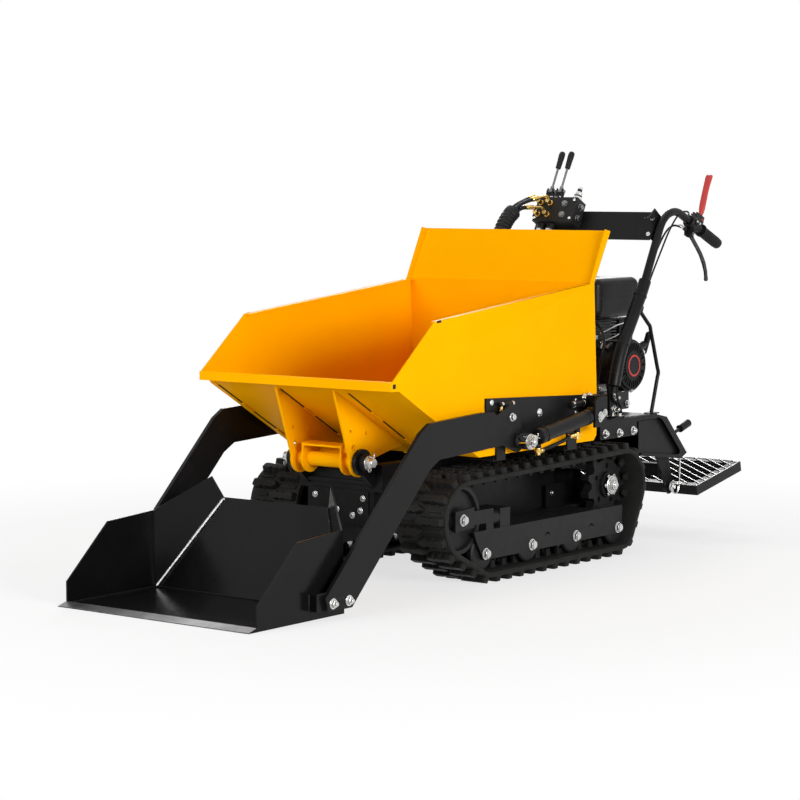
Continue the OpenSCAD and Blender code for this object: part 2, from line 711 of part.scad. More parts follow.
module arm() {
  low = [-962, 61];
  elbow = [-549, 464];
  run = unit(elbow - low);
  crook = elbow + [run[1], -run[0]] * arm_d - 43 * run;
  heel = crook - run * (crook[1] - 40) / run[1];
  side(arm_x, arm_t) {
    polygon([low, elbow, [-508, 488], [-254, 500], [-207, 497], [-112, 438], [-165, 398], [-330, 390],
      crook + [46, 25], crook, heel, heel + [-16, -16], [-950, 24]]);
    disc2d(lift_pin_at, 20);
  }
  side(arm_x, knuckle_t) {
    polygon([[-170, 404], [-200, 480], pivot_at + [-20, 30], pivot_at + [36, 0], lift_pin_at + [32, 6],
      lift_pin_at + [18, -26], lift_pin_at + [-20, -26]]);
    disc2d(pivot_at, 36);
    disc2d(lift_pin_at, 32);
  }
  xcyl(bracket_x + bracket_t + gap, arm_x - bracket_x - bracket_t + 1 - gap, pivot_r, pivot_at);
}

module arm_left() color(black) raised() arm();
module arm_right() color(black) raised() mirror([1, 0, 0]) arm();

// The shovel's plates: floor with its bevelled lip, sloped back, side walls and the rear facets bent inwards
module shovel() color(black) place() translate([0, 0, lip_lift]) {
  lip_d = 34;
  wall = [[lip_y + lip_d, 0], [lip_y + lip_d, 65], [-1029, 214], [-840, 226], [shovel_bend_y, 0]];
  side(-shovel_x, shovel_w) polygon([[lip_y, 0], [lip_y + lip_d, 2 * shovel_t], [lip_y + lip_d + 2, 0]]);
  box([-shovel_x, shovel_x], [lip_y + lip_d, shovel_bend_y], [0, shovel_t]);
  both() side(shovel_x - shovel_t, shovel_t) polygon(wall);
  shovel_back();
  both() shovel_facet();
  both() box([shovel_x, arm_x], [-985, -850], [26, 70]);
}

// Back panel: a trapezoid plate leaning back from the bend
module shovel_back() {
  d = shovel_back_top - [shovel_bend_y, 0];
  l = norm(d);
  inset = 0.7;
  translate([0, shovel_bend_y, 0]) rotate([atan2(d[1], d[0]), 0, 0]) linear_extrude(shovel_t)
    polygon([[inset - shovel_x, 1.5], [shovel_x - inset, 1.5], [shovel_back_x, l], [-shovel_back_x, l]]);
}

// Rear facet: a bent plate from the side wall's rear edge to the back panel's slanted edge
module shovel_facet() {
  p = [[shovel_x - 2.5, shovel_bend_y - 1, 2.7], [shovel_x - 0.7, -841.5, 225.2], [219, -731, 321],
    [shovel_back_x - 1.5, shovel_back_top[0] - 2.2, shovel_back_top[1]]];
  inwards = [-0.6, -0.8, 0] * shovel_t;
  polyhedron(concat(p, [for (q = p) q + inwards]),
    [[0, 1, 2], [0, 2, 3], [4, 6, 5], [4, 7, 6], [0, 5, 1], [0, 4, 5], [1, 6, 2], [1, 5, 6],
      [2, 7, 3], [2, 6, 7], [3, 4, 0], [3, 7, 4]]);
}

// Engine deck, rear cover and platform

module rear_deck() color(black) raised() {
  difference() {
    side(-deck_x, deck_w) bent(cover_pts, -deck_t);
    box(span(shift_x, -9, 9), [1002, 1062], [284, 352]);
  }
  both() {
    box([deck_x - 6, deck_x], [556, 770], [frame_ref - 4, deck_z - deck_t]);
    box([rail_x, rail_x + rail_w], [390, 874], [deck_z - deck_t - 40, deck_z - 1]);
    box([handle_x - 26, handle_x + 12], [628, 690], [deck_z, deck_z + 4]);
    side(platform_ear_x, platform_ear_t) difference() {
      union() {
        polygon([[960, 259], [1036, 250], platform_at + [20, 0], platform_at + [-22, 0]]);
        disc2d(platform_at, 24);
      }
      disc2d(platform_at, platform_pin_r + run_fit);
    }
  }
  box([-platform_ear_x, platform_ear_x], [986, 1026], [190, 230]);
  side(shift_plate_x, shift_plate_t) difference() {
    polygon([shift_at + [-18, -15], shift_at + [18, -15], [988, 351.5], [950, 389], [925, 393.8]]);
    disc2d(shift_at, shift_pin_r + run_fit);
  }
}

module platform() color(black) raised() translate([0, platform_at[0], platform_at[1]])
  rotate([platform_tilt, 0, 0]) {
  y0 = platform_gap;
  y1 = platform_gap + platform_len;
  top = platform_lip;
  difference() {
    box([-platform_x, platform_x], [y0, y1], [top - platform_h, top]);
    box([4 - platform_x, platform_x - 4], [y0 + 4, y1 - 4], [top - platform_h - 1, top - 4]);
    box([30 - platform_x, platform_x - 30], [y0 + 30, y1 - 30], [top - 5, top + 1]);
    both() box([platform_ear_x - gap, platform_ear_x + platform_ear_t + 2], [y0 - 1, 30], [-platform_h, top + 1]);
  }
  mesh(y0 + 28, y1 - 28, top - 7);
  both() difference() {
    union() {
      box([platform_ear_x - 9, platform_ear_x - gap], [0, y0 + 4], [top - platform_h, 12]);
      xcyl(platform_ear_x - 9, 9 - gap, 18, [0, 0]);
    }
  }
  both() xcyl(platform_ear_x - 9, platform_ear_t + 15, platform_pin_r, [0, 0]);
}

// Expanded metal: two sets of flat strands that cross at the diamonds' corners
module mesh(y0, y1, z) {
  cell = 64;
  w = 2 * platform_x - 56;
  n = ceil(w / cell) + 5;
  intersection() {
    translate([-w / 2, y0, z]) cube([w, y1 - y0, 3]);
    union() for (s = [-1, 1]) for (i = [0 : n - 1]) translate([-w / 2 - 2 * cell + i * cell, (y0 + y1) / 2, z])
      rotate([0, 0, s * 27]) translate([-2.5, -170, 0]) cube([5, 340, 3]);
  }
}

module shift_lever() color(black) raised() translate([shift_x, shift_at[0], shift_at[1]])
  rotate([shift_angle, 0, 0]) {
  ycyl(0, 140, 6);
  ycyl(138, 56, 13);
  xcyl(-shift_hub / 2, shift_hub, 11, [0, 0]);
  xcyl(shift_plate_x - shift_x - gap - 4, shift_plate_t + 2 * gap + 8, shift_pin_r, [0, 0]);
  xcyl(shift_plate_x - shift_x - gap - 4, 4, 9, [0, 0]);
}

// Engine

module engine_block() color(alloy) raised() {
  z0 = deck_z + 8;
  difference() {
    union() {
      box([-120, 120], [engine_y - 105, engine_y + 100], [z0, 470]);
      box([-105, 105], [engine_y - 82, engine_y + 82], [470, 640]);
      for (i = [0 : 6]) box([-96, 96], [engine_y - 100, engine_y + 60], [645 + i * 10, 649 + i * 10]);
      box([-84, 84], [engine_y - 84, engine_y + 44], [640, tank_z[0] - gap]);
      xcyl(105, recoil_x - recoil_d - 105 - gap, recoil_r - 8, [engine_y, crank_z]);
      xcyl(-150, 46, 56, [engine_y, crank_z]);
    }
    for (y = [-80, 75]) for (x = [-100, 100]) translate([x, engine_y + y, z0 - 1]) cylinder(h = 30, r = 5);
  }
  both() box([86, 112], [engine_y - 110, engine_y + 105], [deck_z + 6, z0]);
}

module recoil_cover() color(black) raised() difference() {
  union() {
    xcyl(recoil_x - recoil_d, recoil_d - 12, recoil_r, [engine_y, crank_z]);
    xcyl(recoil_x - 12, 8, recoil_r - 10, [engine_y, crank_z]);
    xcyl(recoil_x - 4, 4, 48, [engine_y, crank_z]);
    translate([recoil_x - 26, pull_at[0], pull_at[1]]) rotate([pull_angle, 0, 0]) ycyl(-20, 50, 13);
  }
  for (i = [0 : 15]) translate([0, engine_y, crank_z]) rotate([22.5 * i, 0, 0])
    box([recoil_x - 24, recoil_x + 1], [52, 68], [-4, 4]);
  translate([recoil_x - 26, pull_at[0], pull_at[1]]) rotate([pull_angle, 0, 0]) ycyl(-rope_len - 4,
    rope_len + 60, rope_r + 1);
}

module starter_handle() color(black) raised() translate([recoil_x - 26, pull_at[0], pull_at[1]])
  rotate([pull_angle, 0, 0]) {
  ycyl(30 + gap, 14, 9);
  ycyl(30 - rope_len, rope_len + 8, rope_r);
  translate([0, 50, 0]) rotate([0, 24, 0]) {
    translate([0, 0, -32]) cylinder(h = 64, r = 10);
    translate([0, 0, -32]) sphere(10);
    translate([0, 0, 32]) sphere(10);
  }
}

module fuel_tank() color(black) raised() {
  r = 26;
  x = [-tank_x, tank_x];
  box(x + [r, -r], tank_y, tank_z + [r, -r]);
  box(x + [r, -r], tank_y + [r, -r], tank_z);
  box(x, tank_y + [r, -r], tank_z + [r, -r]);
  for (y = tank_y + [r, -r]) for (z = tank_z + [r, -r]) {
    xcyl(x[0] + r, x[1] - x[0] - 2 * r, r, [y, z]);
    for (s = x + [r, -r]) translate([s, y, z]) sphere(r);
  }
  for (y = tank_y + [r, -r]) for (s = x + [r, -r]) translate([s, y, tank_z[0] + r])
    cylinder(h = tank_z[1] - tank_z[0] - 2 * r, r = r);
  for (z = tank_z + [r, -r]) for (s = x + [r, -r]) translate([s, 0, z]) ycyl(tank_y[0] + r,
    tank_y[1] - tank_y[0] - 2 * r, r);
  translate([cap_at[0], cap_at[1], tank_z[1] - 1]) cylinder(h = neck_h + 1, r = neck_r);
}

module fuel_cap() color(black) raised() translate([cap_at[0], cap_at[1], tank_z[1] + gap]) difference() {
  union() {
    cylinder(h = neck_h + 12, r = cap_r);
    for (i = [0 : 9]) rotate(36 * i) translate([cap_r - 1, -4, 0]) cube([4, 8, neck_h + 8]);
  }
  translate([0, 0, -1]) cylinder(h = neck_h + 1 + gap, r = neck_r + run_fit);
}

module air_filter() color(black) raised() {
  y0 = engine_y + 60 + gap;
  box([-60, 88], [y0 + 30, y0 + 110], [600, 706]);
  box([-20, 40], [y0, y0 + 30], [640, 690]);
  for (i = [0 : 3]) box([-62, 90], [y0 + 40 + i * 18, y0 + 46 + i * 18], [598, 708]);
}

module muffler() color(steel) raised() {
  y1 = engine_y - 100 - gap;
  box([-80, 70], [y1 - 64, y1], [610, 706]);
  xcyl(-96, 16, 24, [y1 - 32, 660]);
  translate([40, y1 - 32, 590]) cylinder(h = 20, r = 12);
}

// Belt drive on the far side of the engine, under its own cover
module drive_cover() color(black) raised() difference() {
  side(-204, 52) union() {
    disc2d([engine_y, crank_z], 78);
    disc2d([engine_y - 120, 470], 60);
    polygon([[engine_y - 62, crank_z + 47], [engine_y - 167, 507], [engine_y - 120, 410],
      [engine_y + 30, 412], [engine_y + 78, crank_z]]);
  }
  side(-200, 60) union() {
    disc2d([engine_y, crank_z], 72);
    polygon([[engine_y - 60, crank_z + 38], [engine_y - 160, 500], [engine_y - 120, 416],
      [engine_y + 28, 418], [engine_y + 70, crank_z]]);
  }
}

module hydraulic_pump() color(alloy) raised() {
  box([-90, -20], [590, 660], [deck_z + 8, deck_z + 108]);
  box([-98, -12], [604, 646], [deck_z, deck_z + 8]);
  xcyl(-20, 30, 24, [625, deck_z + 60]);
}

module hydraulic_tank() color(black) raised() {
  box([-212, -104], [440, 600], [deck_z, deck_z + 150]);
  translate([-140, 480, deck_z + 150]) cylinder(h = 16, r = 18);
  box(span(sleeve_x, -34, 34), [530, 592], [deck_z + 150, deck_z + 162]);
}

// Handles and controls

module in_handle(x) raised() translate([x, 0, 0]) children();

module handle_tubes() color(black) both() in_handle(handle_x) {
  difference() {
    side_rod(column_foot, column_top, column_r);
    box([-30, 30], span(column_foot[0], -40, 40), [deck_z - 20, deck_z + 6]);
  }
  sweep = 90 - lean + grip_drop;
  translate([0, bend_centre[0], bend_centre[1]]) rotate([90, 0, 90]) rotate([0, 0, 90 - grip_drop]) {
    rotate_extrude(angle = sweep) translate([bend_r, 0]) circle(tube_r - bend_thin);
    translate([bend_r, 2, 0]) rotate([90, 0, 0]) cylinder(h = norm(tube_end - bend_to) + 2, r = tube_r);
    rotate([0, 0, sweep]) translate([bend_r, -2, 0]) rotate([-90, 0, 0])
      cylinder(h = norm(bend_from - column_top) + 14, r = tube_r);
  }
  box([-26, 12], [632, 686], [deck_z + 4, deck_z + 8]);
  side(-26, 10) polygon([[636, deck_z + 6], [684, deck_z + 6], [712, 500], [668, 500]]);
}

module side_rod(a, b, r) rod([0, a[0], a[1]], [0, b[0], b[1]], r);

module handle_braces() color(black) both() raised() {
  x = handle_x;
  top = handle_line(390, column_r + gap);
  out = handle_line(390, column_r + 16);
  hose(concat([[x, top[0], top[1]]], route([[x, out[0], out[1]], [x, 866, 694], [x, 896, 600], [x, 912, 540],
    [x, 904, 480], [x, 879, deck_z + 2.5]], 3)), brace_r, 10);
}

module grips() color(rubber) both() in_handle(handle_x) {
  a = grip_from;
  difference() {
    union() {
      side_rod(a, a + grip_len * grip_dir, grip_r);
      side_rod(a - 5 * grip_dir, a + grip_dir, grip_r + 4);
      for (i = [0 : 7]) side_rod(a + (10 + 12 * i) * grip_dir, a + (16 + 12 * i) * grip_dir, grip_r + 1.2);
    }
    side_rod(a - 8 * grip_dir, tube_end + 0.3 * grip_dir, tube_r + run_fit);
  }
}

module on_panel() raised() translate([0, panel_low[0], panel_low[1]]) rotate([-lean, 0, 0]) children();

module control_panel() color(black) on_panel() {
  w = handle_x - tube_r - gap;
  difference() {
    union() {
      box([-w, w], [-panel_t, 0], [0, panel_h]);
      box([-w, w], [0, 18], [panel_h - 4, panel_h]);
      both() box([w - 4, w], [0, 26], [6, panel_h - 10]);
    }
    for (x = valve_x) translate([x, 1, valve_base + 40]) rotate([90, 0, 0]) cylinder(h = panel_t + 2, r = 4);
  }
}

module valve_block() color(dark) on_panel() difference() {
  union() {
    box([valve_in, valve_out], [-panel_t - gap - valve_d, -panel_t - gap], [valve_base, valve_base + valve_h]);
    for (x = valve_x) {
      translate([x, valve_mid, valve_base + valve_h]) cylinder(h = 14, r = 14);
      for (s = [-1, 1]) box(span(x + s * 10, -2, 2), span(valve_mid, -9, 9),
        [valve_base + valve_h + 14, valve_pivot + 8]);
      translate([x, valve_mid, valve_base - 18]) cylinder(h = 20, r = 13);
    }
    box([valve_in - 10, valve_in], span(valve_mid, -20, 20), span(valve_base, 20, 60));
    translate([valve_out - 20, valve_mid, valve_base + valve_h - 1]) {
      cylinder(h = 19, r = 15, $fn = 6);
      cylinder(h = 40, r = 8);
    }
  }
  for (x = valve_x) xcyl(x - 20, 40, valve_pin_r + run_fit, [valve_mid, valve_pivot]);
}

module valve_lever(x) color(black) on_panel() translate([x, valve_mid, valve_pivot]) {
  xcyl(-14, 28, valve_pin_r, [0, 0]);
  xcyl(-7.5, 15, 8, [0, 0]);
  cylinder(h = valve_lever_len - 50, r = 5);
  translate([0, 0, valve_lever_len - 62]) cylinder(h = 50, r = 11);
  translate([0, 0, valve_lever_len - 12]) sphere(11);
}

module valve_lever_1() valve_lever(valve_x[0]);
module valve_lever_2() valve_lever(valve_x[1]);

// Four hoses leave the valve's front through brass fittings
fitting_z = [valve_base + 20, valve_base + 62];
fitting_len = 24;
function panel_point(x, y, z) = [x, panel_low[0] + y * cos(lean) + z * sin(lean),
  panel_low[1] - y * sin(lean) + z * cos(lean)];
fitting_y = -panel_t - gap - valve_d;

module valve_fittings() color(brass) on_panel() for (x = valve_x) for (z = fitting_z)
  translate([x, fitting_y, z]) rotate([90, 0, 0]) {
    cylinder(h = 10, r = 10, $fn = 6);
    cylinder(h = fitting_len, r = 7);
  }

// Route of the ribbed sleeve, from the valve over and down behind the bin to the tank
sleeve_x = -173;
sleeve_route = route([[sleeve_x, 770, 1076], [sleeve_x, 706, 1066], [sleeve_x, 634, 1014], [sleeve_x, 590, 930],
  [sleeve_x, 570, 830], [sleeve_x, 562, 720], [sleeve_x, 560, 640], [sleeve_x, 560, deck_z + 164]], 22);
sleeve_rib = 22;
sleeve_root = 19.5;
sleeve_bore = 17;
hose_r = 5;
hose_off = 6.2;

module hose_sleeve() color(black) raised() {
  n = 8;
  m = len(sleeve_route);
  outer = [for (i = [0 : m - 1]) each ring(sleeve_route, i, i % 2 == 0 ? sleeve_root : sleeve_rib, n)];
  inner = [for (i = [m - 1 : -1 : 0]) each ring(sleeve_route, i, sleeve_bore, n)];
  walls = [for (i = [0 : 2 * m - 1]) each band(i, (i + 1) % (2 * m), n)];
  polyhedron(concat(outer, inner), walls);
}

module valve_hoses() color(rubber) raised() for (x = [0, 1]) for (z = [0, 1]) {
  sx = x == 0 ? -1 : 1;
  sz = z == 0 ? -1 : 1;
  inside = [for (i = [0 : 6 : len(sleeve_route) - 1]) sleeve_route[i] + [sx * hose_off, 0, 0]
    + sz * hose_off * over(sleeve_route, i)];
  start = panel_point(valve_x[x], fitting_y - fitting_len - gap, fitting_z[z]);
  out = panel_point(valve_x[x], fitting_y - fitting_len - 26, fitting_z[z]);
  lead = route([out, inside[0], inside[1]], 6);
  hose(concat([start], [for (i = [0 : 5]) lead[i]], inside), hose_r, 8);
}

module clamp_frame(x, at) raised() translate([x, at[0], at[1]]) rotate([-grip_drop, 0, 0]) children();

module lever_clamp(clutch) clamp_frame(handle_x, clamp_at) difference() {
  union() {
    ycyl(-clamp_w / 2, clamp_w, tube_r + 5);
    for (s = [-1, 1]) box(span(6.5 * s, -2.5, 2.5), [-12, 12], [-steer_drop - 10, -tube_r]);
    if (clutch) for (s = [-1, 1]) box(span(6.5 * s, -2.5, 2.5), [4, clutch_at[0] + 10],
      [tube_r - 1, clutch_at[1] + 12]);
  }
  ycyl(-clamp_w, 2 * clamp_w + 60, tube_r + run_fit);
  xcyl(-20, 40, lever_pin_r + run_fit, [0, -steer_drop]);
  xcyl(-20, 40, lever_pin_r + run_fit, clutch_at);
}

module lever_clamps() color(black) {
  lever_clamp(true);
  mirror([1, 0, 0]) lever_clamp(false);
}

module steering_lever() color(black) clamp_frame(handle_x, clamp_at) translate([0, 0, -steer_drop]) {
  xcyl(-10, 20, lever_pin_r, [0, 0]);
  side(-lever_t / 2, lever_t) {
    disc2d([0, 0], 8);
    polygon([[-6, 5], [-6, -6], [28, -18], [58, -29], [89, -42], [120, -62], [140, -80], [152, -98], [164, -94],
      [150, -72], [128, -50], [95, -30], [62, -17], [32, -6], [6, 6]]);
    disc2d([158, -97], 8);
  }
}

module steering_lever_left() steering_lever();
module steering_lever_right() mirror([1, 0, 0]) steering_lever();

module clutch_lever() color(red) clamp_frame(handle_x, clamp_at) translate([0, clutch_at[0], clutch_at[1]]) {
  xcyl(-10, 20, lever_pin_r, [0, 0]);
  side(-lever_t / 2, lever_t) {
    disc2d([0, 0], 8);
    polygon([[-7, 0], [-9, 40], [3, 40], [7, 0]]);
  }
  side(-blade_w / 2, blade_w) polygon([[-8, 24], [-10, 60], [-11, 110], [-8, 156], [0, 158], [-3, 110],
    [-1, 60], [3, 24]]);
}

// Bowden cables from the levers down the handles to the deck
cable_r = 3.2;

function handle_line(s, off) = column_foot + s * column_dir
  + off * [cos(column_lean), -sin(column_lean)];

function clamp_point(x, y, z) = [x, clamp_at[0] + y * cos(grip_drop) + z * sin(grip_drop),
  clamp_at[1] - y * sin(grip_drop) + z * cos(grip_drop)];

module cable() {
  x = handle_x - 12;
  down = [for (s = [560, 460, 360, 260, 160, 80]) let (q = handle_line(s, column_r + 1.6)) [x, q[0], q[1]]];
  p = concat([clamp_point(handle_x - 6.5, -12.6, 6 - steer_drop), clamp_point(handle_x - 7, -30, 6 - steer_drop),
    clamp_point(x, -90, -10 - steer_drop), clamp_point(x, -130, -100)], down,
    [[x, 706, deck_z + 40], [x, 706, deck_z + 0.6]]);
  hose(concat([p[0]], route([for (i = [1 : len(p) - 2]) p[i]], 4), [p[len(p) - 1]]), cable_r, 8);
}

module control_cables() color(black) raised() both() cable();

chassis_frame();
arm_brackets();
track_frame_left();
track_frame_right();
track_left();
track_right();
wheel_axles();
sprocket_left();
sprocket_right();
idler_left();
idler_right();
roller_left_1();
roller_left_2();
roller_left_3();
roller_left_4();
roller_right_1();
roller_right_2();
roller_right_3();
roller_right_4();
gearbox();
rear_deck();
platform();
engine_block();
recoil_cover();
starter_handle();
fuel_tank();
fuel_cap();
air_filter();
muffler();
drive_cover();
hydraulic_pump();
hydraulic_tank();
handle_tubes();
handle_braces();
grips();
control_panel();
valve_block();
valve_lever_1();
valve_lever_2();
valve_fittings();
valve_hoses();
hose_sleeve();
lever_clamps();
steering_lever_left();
steering_lever_right();
clutch_lever();
control_cables();
shift_lever();
bin();
bin_underframe();
pivot_pins();
shovel();
arm_left();
arm_right();
lift_barrel_left();
lift_barrel_right();
lift_rod_left();
lift_rod_right();
tip_barrel();
tip_rod();
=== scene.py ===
"""Looks of a tracked power carrier: finishes, and the detail that is too fine for its solids."""

import json
import math
import random

import bmesh
import bpy
from mathutils import Matrix, Vector


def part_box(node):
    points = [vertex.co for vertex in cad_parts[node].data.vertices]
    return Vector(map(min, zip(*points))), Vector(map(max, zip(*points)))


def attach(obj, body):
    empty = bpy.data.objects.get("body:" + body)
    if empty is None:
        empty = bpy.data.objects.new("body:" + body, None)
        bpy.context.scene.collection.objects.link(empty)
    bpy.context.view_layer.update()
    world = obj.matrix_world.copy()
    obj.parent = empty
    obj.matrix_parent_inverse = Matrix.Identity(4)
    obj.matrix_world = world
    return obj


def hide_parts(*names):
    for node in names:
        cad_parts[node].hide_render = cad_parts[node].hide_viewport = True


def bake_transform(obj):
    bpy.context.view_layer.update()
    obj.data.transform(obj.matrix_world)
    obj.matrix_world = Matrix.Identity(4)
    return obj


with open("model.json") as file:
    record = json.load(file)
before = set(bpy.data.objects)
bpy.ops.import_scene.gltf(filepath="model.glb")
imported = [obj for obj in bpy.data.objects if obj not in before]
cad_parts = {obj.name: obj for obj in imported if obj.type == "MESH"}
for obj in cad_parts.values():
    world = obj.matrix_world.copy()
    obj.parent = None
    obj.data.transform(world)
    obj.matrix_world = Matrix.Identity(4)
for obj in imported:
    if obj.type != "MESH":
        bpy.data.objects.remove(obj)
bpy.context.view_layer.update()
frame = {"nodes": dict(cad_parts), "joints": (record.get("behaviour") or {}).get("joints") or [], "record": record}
nodes = frame["nodes"]
joints = {j["name"]: j for j in frame["joints"]}
random.seed(7)

# Places are written in the drawing's own millimetres and moved to the part's frame in metres

HINGE = (-475.0, 360.0)
hinge_at = joints["bin_tip"]["pos_m"]
MID_Y = hinge_at[1] * 1000 - HINGE[0]
UP = hinge_at[2] * 1000 - HINGE[1]


def mm(x, y, z):
    """A place on the machine above its tracks."""
    return Vector((x, y + MID_Y, z + UP)) / 1000


X, Y, Z = Vector((1, 0, 0)), Vector((0, 1, 0)), Vector((0, 0, 1))

# Materials


def feed(tree, node, inputs):
    """Sets a node's inputs to values, colours or outputs of other nodes, and returns its outputs."""
    for socket, value in inputs.items():
        if isinstance(value, bpy.types.NodeSocket):
            tree.links.new(value, node.inputs[socket])
        else:
            node.inputs[socket].default_value = (*value, 1) if isinstance(value, tuple) else value
    return node.outputs


def new_node(tree, kind, inputs=None, **settings):
    """The outputs of a new shader node with these settings and inputs."""
    node = tree.nodes.new("ShaderNode" + kind)
    for key, value in settings.items():
        setattr(node, key, value)
    return feed(tree, node, inputs or {})


class Shader:
    """A material with short calls for the few nodes that the finishes need."""

    def __init__(self, name):
        self.material = bpy.data.materials.new(name)
        self.material.use_nodes = True
        self.tree = self.material.node_tree
        self.coords = new_node(self.tree, "TexCoord")["Object"]

    def noise(self, scale, detail=4.0, roughness=0.55):
        inputs = {"Vector": self.coords, "Scale": scale, "Detail": detail, "Roughness": roughness}
        return new_node(self.tree, "TexNoise", inputs)["Fac"]

    def spread(self, value, low, high, start=0.3, end=0.7):
        inputs = {"Value": value, "From Min": start, "From Max": end, "To Min": low, "To Max": high}
        return new_node(self.tree, "MapRange", inputs)["Result"]

    def mix(self, factor, a, b):
        return new_node(self.tree, "Mix", {"Factor": factor, "A": a, "B": b}, data_type="RGBA")["Result"]

    def multiply(self, a, b):
        return new_node(self.tree, "Math", {0: a, 1: b}, operation="MULTIPLY")["Value"]

    def edges(self, radius):
        """1 on outer edges and corners, 0 on flat faces."""
        rounded = new_node(self.tree, "Bevel", {"Radius": radius}, samples=4)["Normal"]
        true = new_node(self.tree, "NewGeometry")["Normal"]
        alike = new_node(self.tree, "VectorMath", {0: rounded, 1: true}, operation="DOT_PRODUCT")["Value"]
        return self.spread(alike, 1, 0, 0.8, 0.98)

    def bump(self, height, distance):
        return new_node(self.tree, "Bump",
                        {"Strength": 0.5, "Distance": distance, "Height": height})["Normal"]


def grey(value):
    return (value, value, value)


CLOUDS, DUST, CHIPS, SMEARS = (6.0, 5.0), (23.0, 8.0, 0.7), (140.0, 3.0), (38.0, 6.0, 0.65)


def finish(name, colour, roughness, metal=0.0, vary=0.2, grain=520.0, depth=0.0002, worn=None, wear=0.0015,
           dust=None, dust_share=0.0, specular=0.5):
    """A finish with cloudy colour, uneven gloss, a fine grain, and edges that show what is under it."""
    s = Shader(name)
    light = tuple(min(1.0, c * (1 + vary)) for c in colour)
    dark = tuple(c * (1 - vary) for c in colour)
    tone = s.mix(s.spread(s.noise(*CLOUDS), 0, 1), dark, light)
    if dust is not None:
        tone = s.mix(s.spread(s.noise(*DUST), 0, dust_share, 0.45, 0.75), tone, dust)
    if worn is not None:
        spots = s.spread(s.noise(*CHIPS), 0.0, 1.0, 0.42, 0.62)
        tone = s.mix(s.multiply(s.edges(wear), spots), tone, worn)
    gloss = s.spread(s.noise(*SMEARS), roughness * 0.82, min(1.0, roughness * 1.2))
    grained = s.bump(s.noise(grain, 2.0), depth)
    feed(s.tree, s.tree.nodes["Principled BSDF"], {"Base Color": tone, "Roughness": gloss, "Normal": grained,
                                                   "Metallic": metal, "Specular IOR Level": specular})
    return s.material


WORN_BLACK = (0.03, 0.03, 0.031)
FINISHES = {
    "yellow_paint": dict(colour=(0.98, 0.425, 0.0), roughness=0.38, vary=0.03, grain=420.0, depth=0.00008,
                         worn=(1.0, 0.5, 0.01), specular=0.012),
    "black_paint": dict(colour=(0.0060, 0.0060, 0.0062), roughness=0.36, vary=0.25, grain=620.0, depth=0.0001,
                        worn=WORN_BLACK, specular=0.14),
    "grey_black_paint": dict(colour=(0.0105, 0.0105, 0.0108), roughness=0.44, worn=grey(0.04), specular=0.16),
    "track_rubber": dict(colour=(0.0105, 0.0103, 0.0098), roughness=0.6, vary=0.22, grain=340.0,
                         depth=0.0004, worn=(0.026, 0.0255, 0.0245), wear=0.003,
                         dust=(0.02, 0.0195, 0.0185), dust_share=0.4, specular=0.12),
    "soft_rubber": dict(colour=grey(0.008), roughness=0.5, grain=700.0, specular=0.16),
    "cast_dark": dict(colour=grey(0.011), roughness=0.46, vary=0.25, grain=260.0, depth=0.0006,
                      worn=grey(0.06), specular=0.16),
    "zinc_steel": dict(colour=(0.62, 0.62, 0.61), roughness=0.24, metal=1.0, vary=0.16, grain=480.0,
                       worn=(0.82, 0.82, 0.8)),
    "chrome_rod": dict(colour=(0.74, 0.75, 0.76), roughness=0.09, metal=1.0, vary=0.04, grain=1500.0,
                       depth=0.00003),
    "cast_alloy": dict(colour=(0.36, 0.37, 0.37), roughness=0.42, metal=0.9, grain=300.0, depth=0.0005),
    "brass_fitting": dict(colour=(0.70, 0.46, 0.13), roughness=0.24, metal=1.0, vary=0.16,
                          worn=(0.95, 0.82, 0.55)),
    "red_lever": dict(colour=(0.50, 0.05, 0.045), roughness=0.38, vary=0.08, specular=0.25),
    "black_plastic": dict(colour=(0.0085, 0.0085, 0.0088), roughness=0.4, vary=0.18, grain=760.0,
                          specular=0.16),
    "lever_alloy": dict(colour=(0.02, 0.02, 0.021), roughness=0.3, metal=0.2, vary=0.15, grain=600.0,
                        worn=grey(0.5), specular=0.25),
    # A dark grey metal for the valve's rods and plugs: painted shade on chrome and zinc, with worn edges.
    "rod_shade_and_wear": dict(colour=grey(0.2), roughness=0.3, metal=1.0, vary=0.3, grain=500.0, worn=grey(0.6)),
    "bare_edge": dict(colour=(0.22, 0.22, 0.225), roughness=0.34, metal=0.85, vary=0.55, grain=380.0,
                      worn=grey(0.55), wear=0.004),
    # A light grey that paints highlights on the platform's strand tops and rim edges.
    "painted_highlight_grey": dict(colour=(0.78, 0.78, 0.77), roughness=0.32, metal=0.6, grain=380.0),
    "engine_cast": dict(colour=grey(0.016), roughness=0.36, metal=0.3, vary=0.35, grain=260.0, depth=0.0005,
                        worn=grey(0.3), wear=0.003, specular=0.2),
    "shovel_paint": dict(colour=(0.0052, 0.0052, 0.0054), roughness=0.21, vary=0.25, grain=620.0,
                         depth=0.00006, worn=WORN_BLACK, specular=0.14),
    "mesh_steel": dict(colour=grey(0.004), roughness=0.6, vary=0.3, grain=380.0, specular=0.04),
}
MATERIALS = {name: finish(name, **look) for name, look in FINISHES.items()}
NODE_LOOK = {"engine_block": "engine_cast", "shovel": "shovel_paint"}
SLOT_OF = {row["node"]: row["material_slot"] for row in frame["record"]["subparts"]}

for name, node in nodes.items():
    node.data.materials.clear()
    node.data.materials.append(MATERIALS[NODE_LOOK.get(name, SLOT_OF[name])])
    node.data.polygons.foreach_set("use_smooth", [True] * len(node.data.polygons))


